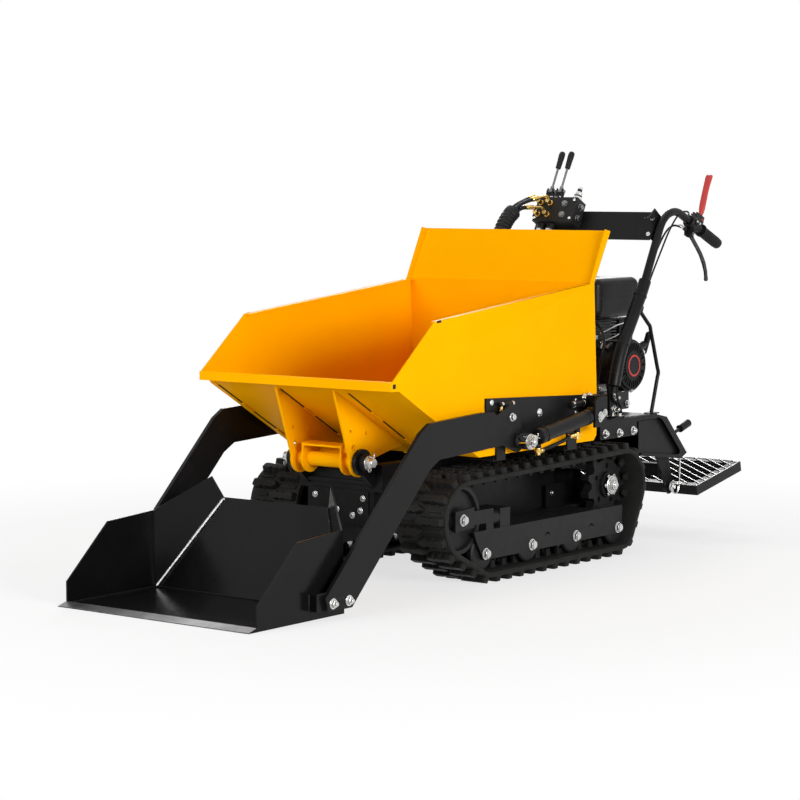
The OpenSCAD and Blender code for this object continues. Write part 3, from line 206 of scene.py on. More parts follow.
def smooth_group(degrees):
    """A node group that shades smooth across edges flatter than the angle and keeps the others crisp."""
    group = bpy.data.node_groups.new("smooth_shading", "GeometryNodeTree")
    group.interface.new_socket("Geometry", in_out="INPUT", socket_type="NodeSocketGeometry")
    group.interface.new_socket("Geometry", in_out="OUTPUT", socket_type="NodeSocketGeometry")
    start, end = group.nodes.new("NodeGroupInput"), group.nodes.new("NodeGroupOutput")
    angle = group.nodes.new("GeometryNodeInputMeshEdgeAngle")
    flatter = group.nodes.new("FunctionNodeCompare")
    flatter.operation = "LESS_THAN"
    flatter.inputs["B"].default_value = math.radians(degrees)
    faces, edges = (group.nodes.new("GeometryNodeSetShadeSmooth") for _ in range(2))
    edges.domain = "EDGE"
    group.links.new(angle.outputs["Unsigned Angle"], flatter.inputs["A"])
    group.links.new(start.outputs["Geometry"], faces.inputs["Geometry"])
    group.links.new(faces.outputs["Geometry"], edges.inputs["Geometry"])
    group.links.new(flatter.outputs["Result"], edges.inputs["Shade Smooth"])
    group.links.new(edges.outputs["Geometry"], end.inputs["Geometry"])
    return group


CRISP = smooth_group(24)
WELD_DIST, FLAT_ANGLE, BEVEL_ANGLE = 0.00001, math.radians(0.4), math.radians(28)
SOLID_ROUND = 1.2


def round_edges(obj, width):
    """Rounds the outer edges of a piece, so that they catch the light, and shades flat faces flat."""
    bevel = obj.modifiers.new("edges", "BEVEL")
    bevel.width = width / 1000
    bevel.segments = 2
    bevel.limit_method = "ANGLE"
    bevel.angle_limit = BEVEL_ANGLE
    obj.modifiers.new("shading", "NODES").node_group = CRISP
    obj.modifiers.new("normals", "WEIGHTED_NORMAL").keep_sharp = True


# Dissolving folds the thin plates of arm_brackets, so these keep their own faces and edges

for name, node in nodes.items():
    weld = node.modifiers.new("weld", "WELD")
    weld.merge_threshold = WELD_DIST
    if name == "arm_brackets":
        node.modifiers.new("shading", "NODES").node_group = CRISP
        continue
    flat = node.modifiers.new("flat", "DECIMATE")
    flat.decimate_type = "DISSOLVE"
    flat.angle_limit = FLAT_ANGLE
    round_edges(node, SOLID_ROUND)


# Mesh helpers


def at(point, axis=Z, side=None):
    """Local millimetres with +Z along the axis and +X towards side, placed in the part's frame."""
    z = Vector(axis).normalized()
    x = Vector(side) if side is not None else (X if abs(z.x) < 0.9 else Y)
    x = (x - z * x.dot(z)).normalized()
    turn = Matrix((x, z.cross(x), z)).transposed().to_4x4()
    return Matrix.Translation(point) @ turn @ Matrix.Scale(0.001, 4)


def tilted(origin, angle):
    """Places in a frame of the side view whose y axis is turned down by the angle."""
    c, s = math.cos(angle), math.sin(angle)
    return lambda x, y, z: mm(x, origin[0] + y * c + z * s, origin[1] - y * s + z * c)


def direction(place_in, y, z):
    """A direction of a tilted frame."""
    return (place_in(0, y, z) - place_in(0, 0, 0)).normalized()


MIRROR = Matrix.Diagonal((-1, 1, 1, 1))


def on_circle(r, a):
    return Vector((r * math.cos(a), r * math.sin(a)))


def circle(r, sides):
    """The corners of a regular outline about the origin."""
    return [on_circle(r, math.tau * k / sides) for k in range(sides)]


def rectangle(x0, y0, x1, y1):
    return [(x0, y0), (x1, y0), (x1, y1), (x0, y1)]


def post(r, low, high, cut, rise):
    """The turned profile of a post, its far edge cut back by cut in radius and rise in height."""
    return [(0, low), (r, low), (r, high - rise), (r - cut, high), (0, high)]


def drum(r, low, high, cut, rise):
    """The turned profile of a post with both edges cut."""
    return [(0, low), (r - cut, low), (r, low + rise), (r, high - rise), (r - cut, high), (0, high)]


def smooth_route(points, steps=8):
    """A curve through the points, close enough to sweep a hose along."""
    points = [Vector(p) for p in points]
    out = []
    for i in range(len(points) - 1):
        a, b, c, d = points[max(i - 1, 0)], points[i], points[i + 1], points[min(i + 2, len(points) - 1)]
        for k in range(steps):
            t = k / steps
            bend = (2 * a - 5 * b + 4 * c - d) * t * t + (3 * b - a - 3 * c + d) * t ** 3
            out.append(0.5 * (2 * b + (c - a) * t + bend))
    return out + [points[-1]]


def even(points, step):
    """The same line with points at even distances."""
    lengths = [0.0]
    for a, b in zip(points, points[1:]):
        lengths.append(lengths[-1] + (b - a).length)
    count = max(2, round(lengths[-1] / step))
    out, i = [], 0
    for k in range(count + 1):
        s = lengths[-1] * k / count
        while i < len(points) - 2 and lengths[i + 1] < s:
            i += 1
        part = (s - lengths[i]) / max(lengths[i + 1] - lengths[i], 1e-9)
        out.append(points[i].lerp(points[i + 1], min(1.0, part)))
    return out


WASHER_T, HEAD_EDGE, HEAD_TAPER = 2.2, 0.85, 0.86
BEAD_END, BEAD_DIP, BEAD_VARY = 0.55, 0.86, 0.12


class Piece:
    """Collects shapes into one mesh and finishes it as an object that rides on a body."""

    def __init__(self):
        self.bm = bmesh.new()

    def add(self, points, faces, place=None):
        place = place or Matrix()
        verts = [self.bm.verts.new(place @ Vector(p)) for p in points]
        for face in faces:
            self.bm.faces.new([verts[i] for i in face])

    def prism(self, outline, low, high, place, taper=1.0, drop=0.0):
        """A flat outline thickened along Z, its far end drawn in by taper or by drop millimetres."""
        n = len(outline)
        middle = Vector((sum(p[0] for p in outline) / n, sum(p[1] for p in outline) / n))
        far = []
        for p in outline:
            q = middle + (Vector(p) - middle) * taper
            away = q - middle
            far.append(q - away.normalized() * min(drop, away.length * 0.6))
        self.loft([[(*p, low) for p in outline], [(*q, high) for q in far]], place)

    def plate(self, wide, deep, low, high, place, corner=3.0):
        """A rectangular plate with rounded corners."""
        outline = []
        for sx, sy, start in ((1, 1, 0), (-1, 1, 90), (-1, -1, 180), (1, -1, 270)):
            centre = Vector((sx * (wide / 2 - corner), sy * (deep / 2 - corner)))
            outline += [centre + on_circle(corner, math.radians(start + 30 * k)) for k in range(4)]
        self.prism(outline, low, high, place)

    def lathe(self, profile, place, sides=28):
        """A turned shape: radius and height pairs about Z, closed on the axis where the radius is 0."""
        rings, points = [], []
        for r, h in profile:
            if r == 0:
                rings.append([len(points)])
                points.append((0, 0, h))
            else:
                rings.append(list(range(len(points), len(points) + sides)))
                points += [(*p, h) for p in circle(r, sides)]
        faces = []
        for a, b in zip(rings, rings[1:]):
            for k in range(sides):
                j = (k + 1) % sides
                if len(a) == 1 and len(b) > 1:
                    faces.append((a[0], b[j], b[k]))
                elif len(b) == 1 and len(a) > 1:
                    faces.append((a[k], a[j], b[0]))
                elif len(a) > 1:
                    faces.append((a[k], a[j], b[j], b[k]))
        self.add(points, faces, place)

    def loft(self, rings, place=None, closed=False):
        """Skins rings with as many points each, capped at both ends or joined end to end."""
        n, m = len(rings), len(rings[0])
        faces = []
        for i in range(n if closed else n - 1):
            here, ahead = i * m, (i + 1) % n * m
            for k in range(m):
                j = (k + 1) % m
                faces.append((here + k, here + j, ahead + j, ahead + k))
        if not closed:
            faces += [tuple(reversed(range(m))), tuple(range((n - 1) * m, n * m))]
        self.add([p for ring in rings for p in ring], faces, place)

    def tube(self, points, radius, sides=12):
        """A round tube along a line in metres; its radius in mm may be a function of the index."""
        last = len(points) - 1
        up = Vector((0.3, 0.2, 1.0)).normalized()
        rings = []
        for i, p in enumerate(points):
            t = (points[min(i + 1, last)] - points[max(i - 1, 0)]).normalized()
            up = (up - t * up.dot(t)).normalized()
            across = t.cross(up)
            r = (radius(i) if callable(radius) else radius) / 1000
            rings.append([p + q.x * up + q.y * across for q in circle(r, sides)])
        self.loft(rings)

    def hex_head(self, place, size, tall, washer=1.35):
        """A hexagon head or nut on its washer, standing on the place's plane."""
        thick = WASHER_T if washer else 0.0
        if washer:
            r = size * washer
            self.lathe(post(r, 0, thick, 0.5, thick * 0.3), place)
        edge = thick + tall * HEAD_EDGE
        self.prism(circle(size, 6), thick, edge, place)
        self.prism(circle(size * 0.999, 6), edge, thick + tall, place, taper=HEAD_TAPER)

    def nut_and_stud(self, place, size, tall, stud):
        """A nut with the thread standing out of it."""
        self.hex_head(place, size, tall)
        base = WASHER_T + tall
        self.lathe(post(size * 0.56, base, base + stud, 1, 1), place, 16)

    def dome_head(self, place, r, tall):
        curve = ((1, 0), (0.98, 0.3), (0.8, 0.72), (0.45, 0.95))
        self.lathe([(0, 0)] + [(r * u, tall * h) for u, h in curve] + [(0, tall)], place)

    def weld(self, points, radius, step=0.0035):
        """A weld bead: a low ropy line with the ripples of the passes."""
        line = even([Vector(p) for p in points], step / 2)

        def ripple(i):
            if i in (0, len(line) - 1):
                return radius * BEAD_END
            return radius * (1.0 if i % 2 else BEAD_DIP) * (1 + BEAD_VARY * (random.random() - 0.5))

        self.tube(line, ripple, 8)

    def mirrored(self):
        """Adds the same shapes on the machine's other side."""
        copy = self.bm.copy()
        bmesh.ops.transform(copy, matrix=MIRROR, verts=copy.verts)
        bmesh.ops.reverse_faces(copy, faces=copy.faces)
        mesh = bpy.data.meshes.new("mirrored")
        copy.to_mesh(mesh)
        copy.free()
        self.bm.from_mesh(mesh)
        bpy.data.meshes.remove(mesh)
        return self

    def done(self, name, slot, body="chassis", round_mm=0.0, sharp=35, stands_for=(), look=None):
        """Makes the mesh an object with its finish; without a body it is left unattached."""
        bmesh.ops.recalc_face_normals(self.bm, faces=self.bm.faces)
        mesh = bpy.data.meshes.new(name)
        self.bm.to_mesh(mesh)
        self.bm.free()
        mesh.materials.append(MATERIALS[look or slot])
        mesh.polygons.foreach_set("use_smooth", [True] * len(mesh.polygons))
        mesh.set_sharp_from_angle(angle=math.radians(sharp))
        obj = bpy.data.objects.new(name, mesh)
        bpy.context.scene.collection.objects.link(obj)
        if round_mm:
            round_edges(obj, round_mm)
        if body is not None:
            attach(obj, body)
        if stands_for:
            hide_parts(*stands_for)
        return obj


def pieces(count):
    return [Piece() for _ in range(count)]


# Bin: the drawn shell, its front corner brought down to the rim tube, where the drawing leaves a wedge

WEDGE_TOP, RIM_TOP, WEDGE_NEAR = (-602.0, 631.2), (-629.4, 608.8), 0.0008


def build_bin_shell():
    shell, source = Piece(), nodes["bin"]
    shell.bm.from_mesh(source.data)
    shell.bm.transform(source.matrix_world)
    bmesh.ops.remove_doubles(shell.bm, verts=shell.bm.verts, dist=WELD_DIST)
    wedge, rim = mm(0, *WEDGE_TOP), mm(0, *RIM_TOP)
    for v in shell.bm.verts:
        if (v.co - wedge).yz.length < WEDGE_NEAR:
            v.co.yz = rim.yz
    bmesh.ops.dissolve_limit(shell.bm, angle_limit=FLAT_ANGLE, verts=shell.bm.verts, edges=shell.bm.edges)
    shell.done("bin_shell", "yellow_paint", "bin", round_mm=SOLID_ROUND, stands_for=["bin"])


build_bin_shell()

# Rubber tracks: a belt with two staggered rows of lugs outside and two rows of guide teeth inside

TRACK_OUT, TRACK_W = 362.5, 180.0
TRACK_IN, TRACK_X = TRACK_OUT - TRACK_W, TRACK_OUT - TRACK_W / 2
BELT_T, TREAD_H, TREAD_PITCH, TREAD_SINK = 14.0, 18.0, 60.0, 4.0
GUIDE_IN, GUIDE_W, GUIDE_H, GUIDE_LEN = 20.0, 14.0, 21.0, 26.0
ROLLER_Y = [-180.0, 54.0, 288.0, 522.0]
ROLLER_Z, ROLLER_R, BELT_R = 84.4, 52.4, 100.4
IDLER = (-290.0, 193.0)
SPROCKET = (532.0, 214.0)
LOOP = [(ROLLER_Y[0], ROLLER_Z, ROLLER_R), (ROLLER_Y[3], ROLLER_Z, ROLLER_R), (*SPROCKET, BELT_R),
        (*IDLER, BELT_R)]


def face_angle(i):
    """The direction in which the belt's straight run after wheel i faces."""
    (ay, az, ar), (by, bz, br) = LOOP[i % 4], LOOP[(i + 1) % 4]
    dy, dz = by - ay, bz - az
    return math.atan2(dz, dy) - math.acos((ar - br) / math.hypot(dy, dz))


def loop_stretches(add):
    """The belt's runs and bends at a height above its inner face: length, and place and angle by length."""
    out = []
    for i in range(4):
        (ay, az, ar), (by, bz, br) = LOOP[i], LOOP[(i + 1) % 4]
        a = face_angle(i)
        d = Vector((math.cos(a), math.sin(a)))
        p, q = Vector((ay, az)) + (ar + add) * d, Vector((by, bz)) + (br + add) * d
        run = (q - p).length
        out.append((run, lambda s, p=p, q=q, run=run, a=a: (p.lerp(q, s / run), a)))
        turn = (face_angle(i + 1) - a) % math.tau
        r, centre = br + add, Vector((by, bz))
        out.append((r * turn, lambda s, c=centre, r=r, a=a: (c + on_circle(r, a + s / r), a + s / r)))
    return out


def loop_length(add):
    return sum(length for length, _ in loop_stretches(add))


def on_loop(s, add):
    """The place and angle at a length along the belt."""
    for length, spot in loop_stretches(add):
        if s < length:
            return spot(s)
        s -= length
    return loop_stretches(add)[0][1](0)


def ground(x, y, z):
    """A place on the tracks or the shovel, its height from the ground."""
    return Vector((x, y + MID_Y, z)) / 1000


def on_belt(s, add, x):
    """A place on the belt with local X across it, Y along it and Z outwards."""
    spot, a = on_loop(s, add)
    out = Vector((0, math.cos(a), math.sin(a)))
    return at(ground(x, spot.x, spot.y), out, X)


LUG_HALF = [(0, 10), (7, 13.5), (30, 13.5), (36, 9.5), (42, 13.5), (58, 13.5), (64, 9.5), (70, 13.5),
            (80, 13.5), (95, 4.5)]
LUG = [(0, -10)] + LUG_HALF + [(u, -t) for u, t in reversed(LUG_HALF[1:])]
LUG_INSET, LUG_DRAFT, GUIDE_TAPER, BELT_STEP = 5.0, 4.2, 0.62, 12.0
PAD, PAD_INSET, PAD_DRAFT = rectangle(-26, -5, 26, 5), 40.0, 2.0


def build_track(side, name):
    belt, lugs = pieces(2)
    w, t = TRACK_W, BELT_T
    section = [(0, 2), (0, t - 3), (2, t), (w / 2, t), (w - 2, t), (w, t - 3), (w, 2), (w - 2, 0),
               (w / 2, 0), (2, 0)]
    rings = []
    for length, spot in loop_stretches(0):
        count = max(2, round(length / BELT_STEP))
        for centre, a in [spot(length * k / count) for k in range(count)]:
            rings.append([ground(TRACK_IN + u, *(centre + on_circle(rise, a))) for u, rise in section])
    belt.loft(rings, closed=True)
    inner, outer = loop_length(0), loop_length(BELT_T)
    count = round(outer / TREAD_PITCH)
    guide = rectangle(-GUIDE_W / 2, -GUIDE_LEN / 2, GUIDE_W / 2, GUIDE_LEN / 2)
    lug_back = [(-u, t) for u, t in reversed(LUG)]
    for i in range(count):
        near, far = ((i + share) * outer / count for share in (0.25, 0.75))
        for s, x, lug in ((near, TRACK_IN + LUG_INSET, LUG), (far, TRACK_OUT - LUG_INSET, lug_back)):
            lugs.prism(lug, -TREAD_SINK, TREAD_H, on_belt(s, BELT_T, x), drop=LUG_DRAFT)
        for way in (-1, 1):
            place = on_belt((i + 0.5) * inner / count, 0, TRACK_X + way * (GUIDE_IN + GUIDE_W / 2))
            lugs.prism(guide, TREAD_SINK, -GUIDE_H, place, taper=GUIDE_TAPER)
        for s, x in ((far, TRACK_IN + PAD_INSET), (near, TRACK_OUT - PAD_INSET)):
            lugs.prism(PAD, -2, 3, on_belt(s, BELT_T, x), drop=PAD_DRAFT)
    if side < 0:
        for piece in (belt, lugs):
            bmesh.ops.transform(piece.bm, matrix=MIRROR, verts=piece.bm.verts)
    belt.done(name + "_belt", "track_rubber", sharp=50, stands_for=[name])
    lugs.done(name + "_lugs", "track_rubber", round_mm=2.0)


build_track(1, "track_left")
build_track(-1, "track_right")

# Hydraulics: corrugated sleeve, hoses with crimped ends, pipes at the valve

LEAN = math.radians(27.4)
PANEL_LOW = (884.0, 962.0)
DECK_Z = 405.0
SLEEVE_X = -173.0
SLEEVE_LINE = ((770, 1076), (706, 1066), (634, 1014), (590, 930), (570, 830), (562, 720), (560, 640),
               (560, DECK_Z + 164))
SLEEVE = smooth_route([mm(SLEEVE_X, *p) for p in SLEEVE_LINE], 22)
on_panel = tilted(PANEL_LOW, LEAN)
PANEL_OUT, PANEL_UP = direction(on_panel, 1, 0), direction(on_panel, 0, 1)
VALVE_X = (-192.0, -155.0)
VALVE_BASE, VALVE_H, VALVE_D, PANEL_T = 36.0, 88.0, 54.0, 4.0
VALVE_FRONT = -PANEL_T - 0.3 - VALVE_D
FITTING_Z = (VALVE_BASE + 20, VALVE_BASE + 62)
MOUTH, MOUTH_STEPS, SLEEVE_OFF, HOSE_R, PIPE_R = 30, (-14, 0, 8), 8.0, 5.8, 4.7
FITTING_OUT, PIPE_OUT, PIPE_RISE, FITTING_NUT = 22.0, 48.0, 4.0, (8.4, 9)
RIBS, CUFF_R, CUFF_LONG = (21.6, 25.2, 26.2, 25.2), 26.8, 5
CRIMP_R, CRIMP_GROOVE, CRIMP_END = 8.0, 7.4, 6.2
RIB_STEP, PIPE_LONG, PIPE_STEP_X, PIPE_STEP_Z = 0.0033, 0.050, 0.022, 0.008
CRIMP_LAP, CRIMP_LONG, HOSE_LAP = 0.006, 0.034, 0.02


def along_line(points, start, end):
    """The stretch of a line between two lengths in metres."""
    out, run = [], 0.0
    for a, b in zip(points, points[1:]):
        if start <= run <= end:
            out.append(a)
        run += (b - a).length
    return out


def crimp_radius(count):
    """The radius of a crimped sleeve by the index of its point."""

    def radius(i):
        if i in (0, count - 1):
            return CRIMP_END
        return CRIMP_R if i % 4 else CRIMP_GROOVE

    return radius


def build_hoses():
    sleeve, hoses, crimps, pipes = pieces(4)
    line = even(SLEEVE[MOUTH:], RIB_STEP)
    inside = range(CUFF_LONG, len(line) - CUFF_LONG)
    sleeve.tube(line, lambda i: RIBS[i % 4] if i in inside else CUFF_R, 20)
    sleeve.done("sleeve_corrugated", "soft_rubber", sharp=80, stands_for=["hose_sleeve"])
    for i, x in enumerate(VALVE_X):
        for k, z in enumerate(FITTING_Z):
            start = on_panel(x, VALVE_FRONT - FITTING_OUT, z)
            off = Vector(((2 * i - 1) * SLEEVE_OFF, 0, (2 * k - 1) * SLEEVE_OFF)) / 1000
            mouth = [SLEEVE[MOUTH + step] + off for step in MOUTH_STEPS]
            bend = on_panel(x, VALVE_FRONT - PIPE_OUT, z + PIPE_RISE)
            route = even(smooth_route([start, bend] + mouth, 14), 0.003)
            pipe = PIPE_LONG + PIPE_STEP_X * i - PIPE_STEP_Z * k
            pipes.tube(along_line(route, 0, pipe), PIPE_R, 14)
            crimp = along_line(route, pipe - CRIMP_LAP, pipe + CRIMP_LONG)
            crimps.tube(crimp, crimp_radius(len(crimp)), 18)
            hoses.tube(along_line(route, pipe + HOSE_LAP, math.inf), HOSE_R, 14)
            pipes.hex_head(at(start, -PANEL_OUT), *FITTING_NUT, washer=0)
    hoses.done("valve_hose_set", "soft_rubber", stands_for=["valve_hoses"])
    crimps.done("hose_crimps", "brass_fitting", sharp=25)
    pipes.done("valve_pipes", "brass_fitting")


build_hoses()

# Handles: the lines of columns, tubes and grips, and the cables along them

HANDLE_X, COLUMN_R = 235.0, 20.0
COLUMN_FOOT, COLUMN_LEAN = Vector((646.0, 409.0)), math.radians(23.9)
GRIP_DROP, STEER_DROP = math.radians(23.2), 36.0
COLUMN_LONG, COLUMN_CUT, TUBE_LONG, TUBE_R, BEND_R = 465.0, 112.0, 185.0, 13.0, 100.0
CLAMP_ON, GRIP_ON, GRIP_LONG = 78.0, 142.0, 106.0
COLUMN_TOP = COLUMN_FOOT + on_circle(COLUMN_LONG, math.pi / 2 - COLUMN_LEAN)
BEND_FROM = COLUMN_TOP + on_circle(TUBE_LONG, math.pi / 2 - LEAN)
BEND_AT = BEND_FROM + on_circle(BEND_R, -LEAN)
BEND_TO = BEND_AT + on_circle(BEND_R, math.pi / 2 - GRIP_DROP)
CLAMP = BEND_TO + on_circle(CLAMP_ON, -GRIP_DROP)
TUBE_END = BEND_TO + on_circle(GRIP_ON + GRIP_LONG, -GRIP_DROP)
on_clamp = tilted(CLAMP, GRIP_DROP)
CLAMP_ALONG, CLAMP_UP = direction(on_clamp, 1, 0), direction(on_clamp, 0, 1)
COLUMN_BENDS = ((656, 510), (673, 566), (701, 630), (749, 702), (803, 782))
COLUMN_LINE = [Vector(p) for p in COLUMN_BENDS] + [COLUMN_TOP]


def column_way(s):
    """The point of the bent column's axis at s along it, and the direction there."""
    left = s - COLUMN_CUT
    for a, b in zip(COLUMN_LINE, COLUMN_LINE[1:]):
        step = (b - a).length
        if left <= step or b is COLUMN_LINE[-1]:
            return a + (b - a) * left / step, (b - a) / step
        left -= step


def on_column(s, off):
    """A point at s along the column and off its axis, to the rear."""
    point, way = column_way(s)
    return point + off * Vector((way.y, -way.x))


CABLE_X, CABLE_R, CABLE_OFF, CABLE_HOLE_Y = HANDLE_X - 12, 3.4, COLUMN_R + 1.6, 706.0
BOOT = [(0, 0), (6.5, 0), (6.5, 3), (5.0, 4.5), (6.6, 7), (5.0, 9.5), (6.2, 12), (4.8, 14.5), (5.8, 17),
        (4.6, 19.5), (4.6, 24), (3.6, 27), (0, 27)]
ADJUSTER = [(0, 26), (5.2, 26), (5.2, 40), (4.2, 41), (4.2, 46), (0, 46)]
CABLE_GRIP = ((HANDLE_X - 6.5, -12.6, 6 - STEER_DROP), (HANDLE_X - 7, -30, 6 - STEER_DROP),
              (CABLE_X, -90, -10 - STEER_DROP), (CABLE_X, -130, -100))
CABLE_COLUMN, TIE_COLUMN = (560, 460, 360, 260, 160, 80), (430, 250, 150)
TIE_BAND, TIE_LOOP = rectangle(20.3, -2.5, 21.6, 2.5), rectangle(0, -3, 6.4, 3)


def build_cables():
    cables, ends, ties, boots = pieces(4)
    points = [on_clamp(*p) for p in CABLE_GRIP]
    points += [mm(CABLE_X, *on_column(s, CABLE_OFF)) for s in CABLE_COLUMN]
    points += [mm(CABLE_X, CABLE_HOLE_Y, DECK_Z + rise) for rise in (40, 0.6)]
    cables.tube(smooth_route(points, 8), CABLE_R, 12)
    along = (points[1] - points[0]).normalized()
    boots.lathe(BOOT, at(points[0] + along / 1000, along))
    ends.lathe(ADJUSTER, at(points[0], along), 12)
    for s in TIE_COLUMN:
        way = Vector((0, *column_way(s)[1]))
        ties.lathe(TIE_BAND, at(mm(HANDLE_X, *on_column(s, 0)), way), 32)
        ties.lathe(TIE_LOOP, at(mm(CABLE_X, *on_column(s, CABLE_OFF)), way), 16)
    cables.mirrored().done("control_cable_set", "soft_rubber", stands_for=["control_cables"])
    ends.mirrored().done("cable_adjusters", "zinc_steel")
    boots.mirrored().done("cable_boots", "soft_rubber")
    ties.mirrored().done("cable_ties", "black_plastic")


build_cables()

# Fasteners and fittings along the frame and the loader


def facing(x, y, z, axis=X, side=None):
    """A place on a raised part, its Z along the axis."""
    return at(mm(x, y, z), axis, side)


def cotter(piece, place, reach, r=1.6):
    """A split pin through a bolt: a straight leg with an eye, and two bent ends."""
    leg = ((-reach - 4, 0), (reach + 8, 2), (reach + 16, 8))
    other = ((reach - 2, -1), (reach + 8, -3), (reach + 15, -10))
    for way, thick in ((leg, r), (other, r * 0.8)):
        piece.tube(smooth_route([place @ Vector((*p, 0)) for p in way], 6), thick, 8)
    eye = [Vector((-reach - 9, 0)) + p for p in circle(5.5, 14)]
    piece.tube([place @ Vector((*p, 0)) for p in eye + eye[:1]], r, 8)


def castle_nut(piece, place, size, tall):
    """A slotted nut with its washer and split pin."""
    washer, slots, top = 3, 3 + tall * 0.6, 3 + tall
    piece.lathe(post(size * 1.35, 0, washer, size * 0.05, 0.6), place, 36)
    piece.prism(circle(size, 6), washer, slots, place)
    tooth = rectangle(size * 0.45, -size * 0.3, size * 0.84, size * 0.3)
    for k in range(6):
        piece.prism(tooth, slots, top, place @ Matrix.Rotation(math.tau * k / 6, 4, "Z"))
    piece.lathe(post(size * 0.5, washer, tall + 8, size * 0.14, 2), place, 20)
    cotter(piece, place @ Matrix.Translation((0, 0, washer + tall * 0.82)), size * 0.8)


def capsule(length, width, steps=8):
    """A flat bar's outline with round ends, lying along X."""
    r, half = width / 2, length / 2 - width / 2
    right = [Vector((half, 0)) + on_circle(r, math.pi * (k / steps - 0.5)) for k in range(steps + 1)]
    return right + [-p for p in right]


BRACKET_X, ARM_X, KNUCKLE_X, LIFT_X, LIFT_EAR_X = 357.0, 384.0, 379.0, 408.0, 433.0
PIVOT, LIFT_PIN, LIFT_BASE = (-107.0, 476.0), (-78.0, 405.0), (274.0, 456.0)
HINGE_EAR_X, SPROCKET_X = 125.0, 299.5
FRONT_Y, FRONT_T, DRIVE_PLATE_X, DRIVE_PLATE_T = -425.0, 6.0, 170.0, 5.0
BOLT, SMALL_BOLT, EAR_BOLT = (7, 5), (6.5, 5), (9.5, 7)
BRACKET_DOMES = ((-177, 521, 9, 3.2), (63, 476, 12.5, 7), (255, 499, 5, 3.5), (243, 486, 5, 3.5),
                 (255, 464, 5, 3.5))
EAR_BOLTS, HOSE_ENDS, BAND_IN = ((303, 503), (328, 504)), ((-148, -72, 514, 6), (214, 296, 488, 9)), 12
KEEPER, KEEPER_T, KEEPER_BOLT_AT, ELBOW_AT = capsule(52, 20), 5.0, 15.0, (BRACKET_X + 7.4, -142, 507)
HINGE_NUT, LIFT_NUT, PIVOT_BOLT, ARM_STUD, ARM_BOLT = (15.5, 13), (17, 13), (10, 8), (11, 8, 6), (11, 7)
HINGE_NUT_ON, LIFT_NUT_ON, ARM_BOLT_Y = 17.4, 15.2, (-932, -865)
FRONT_BOLTS = ((-88, 196), (-50, 199), (-7, 212), (50, 199), (79, 214), (88, 250), (-88, 250))
DRIVE_BOLT_Y, DRIVE_BOLT_Z = (400, 610), 190.0
BUSHING = [(13.2, 0), (24.4, 0), (25, 1), (25, 14.4), (22, 16.4), (17, 17), (13.2, 17)]
ELBOW = [(0, 8), (5, 8), (5, 17), (6.4, 18), (6.4, 24), (0, 24)]
ARM_EDGE = ((-207, 497), (-112, 438), (-165, 398))
ARM_FOOT_Z, ARM_T, PIVOT_BEAD_R = 44.0, 12.0, 36.5


def build_bracket_fittings():
    zinc, black, brass = pieces(3)
    for y, z, r, tall in BRACKET_DOMES:
        zinc.dome_head(facing(BRACKET_X, y, z), r, tall)
    for y, z in EAR_BOLTS:
        zinc.hex_head(facing(BRACKET_X, y, z), *EAR_BOLT)
    for y0, y1, z, r in HOSE_ENDS:
        x = BRACKET_X + r + 0.4
        black.lathe(drum(r, 0, y1 - y0, r * 0.2, 2), facing(x, y0, z, Y))
        for y in (y0 + BAND_IN, y1 - BAND_IN):
            zinc.lathe(rectangle(r + 0.1, -4, r + 1.1, 4), facing(x, y, z, Y), 28)
    elbow = facing(*ELBOW_AT, -Z)
    brass.hex_head(elbow, 6.4, 8, washer=0)
    brass.lathe(ELBOW, elbow, 18)
    keeper = at(mm(LIFT_EAR_X, LIFT_BASE[0] + 8, LIFT_BASE[1] - 1), X, Vector((0, 0.82, 0.57)))
    zinc.prism(KEEPER, 0, KEEPER_T, keeper)
    for u in (-KEEPER_BOLT_AT, KEEPER_BOLT_AT):
        zinc.hex_head(keeper @ Matrix.Translation((u, 0, KEEPER_T)), 6.5, 4.5, washer=0)
    zinc.mirrored().done("bracket_bolts", "zinc_steel", round_mm=0.5)
    black.mirrored().done("bracket_hose_ends", "soft_rubber")
    brass.mirrored().done("bracket_elbows", "brass_fitting", round_mm=0.4)


def build_pins():
    bushings, nuts, arm, beads = pieces(4)
    bushings.lathe(BUSHING, facing(HINGE_EAR_X + 0.4, *HINGE), 40)
    place = facing(HINGE_EAR_X + HINGE_NUT_ON, *HINGE, side=Vector((0, 0.5, 0.86)))
    castle_nut(nuts, place, *HINGE_NUT)
    bushings.mirrored().done("hinge_bushings", "soft_rubber")
    nuts.mirrored().done("hinge_nuts", "zinc_steel", round_mm=0.5)
    for side, name in ((1, "left"), (-1, "right")):
        nut = Piece()
        place = facing(side * (LIFT_X + LIFT_NUT_ON), *LIFT_PIN, X * side, Vector((0, 0.8, 0.6)))
        castle_nut(nut, place, *LIFT_NUT)
        nut.done("lift_pin_nut_" + name, "zinc_steel", "lift_rod_" + name, round_mm=0.5)
    arm.hex_head(facing(KNUCKLE_X, *PIVOT), *PIVOT_BOLT, washer=1.25)
    for y in ARM_BOLT_Y:
        arm.nut_and_stud(facing(ARM_X, y, ARM_FOOT_Z), *ARM_STUD)
        arm.hex_head(facing(ARM_X - ARM_T, y, ARM_FOOT_Z, -X), *ARM_BOLT)
    arm.mirrored().done("arm_bolts", "zinc_steel", "loader", round_mm=0.6)
    for a, b in zip(ARM_EDGE, ARM_EDGE[1:]):
        beads.weld([mm(KNUCKLE_X + 1.5, *a), mm(KNUCKLE_X + 1.5, *b)], 3.2)
    turns = [math.radians(-60 + 12 * k) for k in range(18)]
    beads.weld([mm(KNUCKLE_X - 7, *(Vector(PIVOT) + on_circle(PIVOT_BEAD_R, a))) for a in turns], 2.4)
    beads.mirrored().done("arm_weld_beads", "black_paint", "loader")


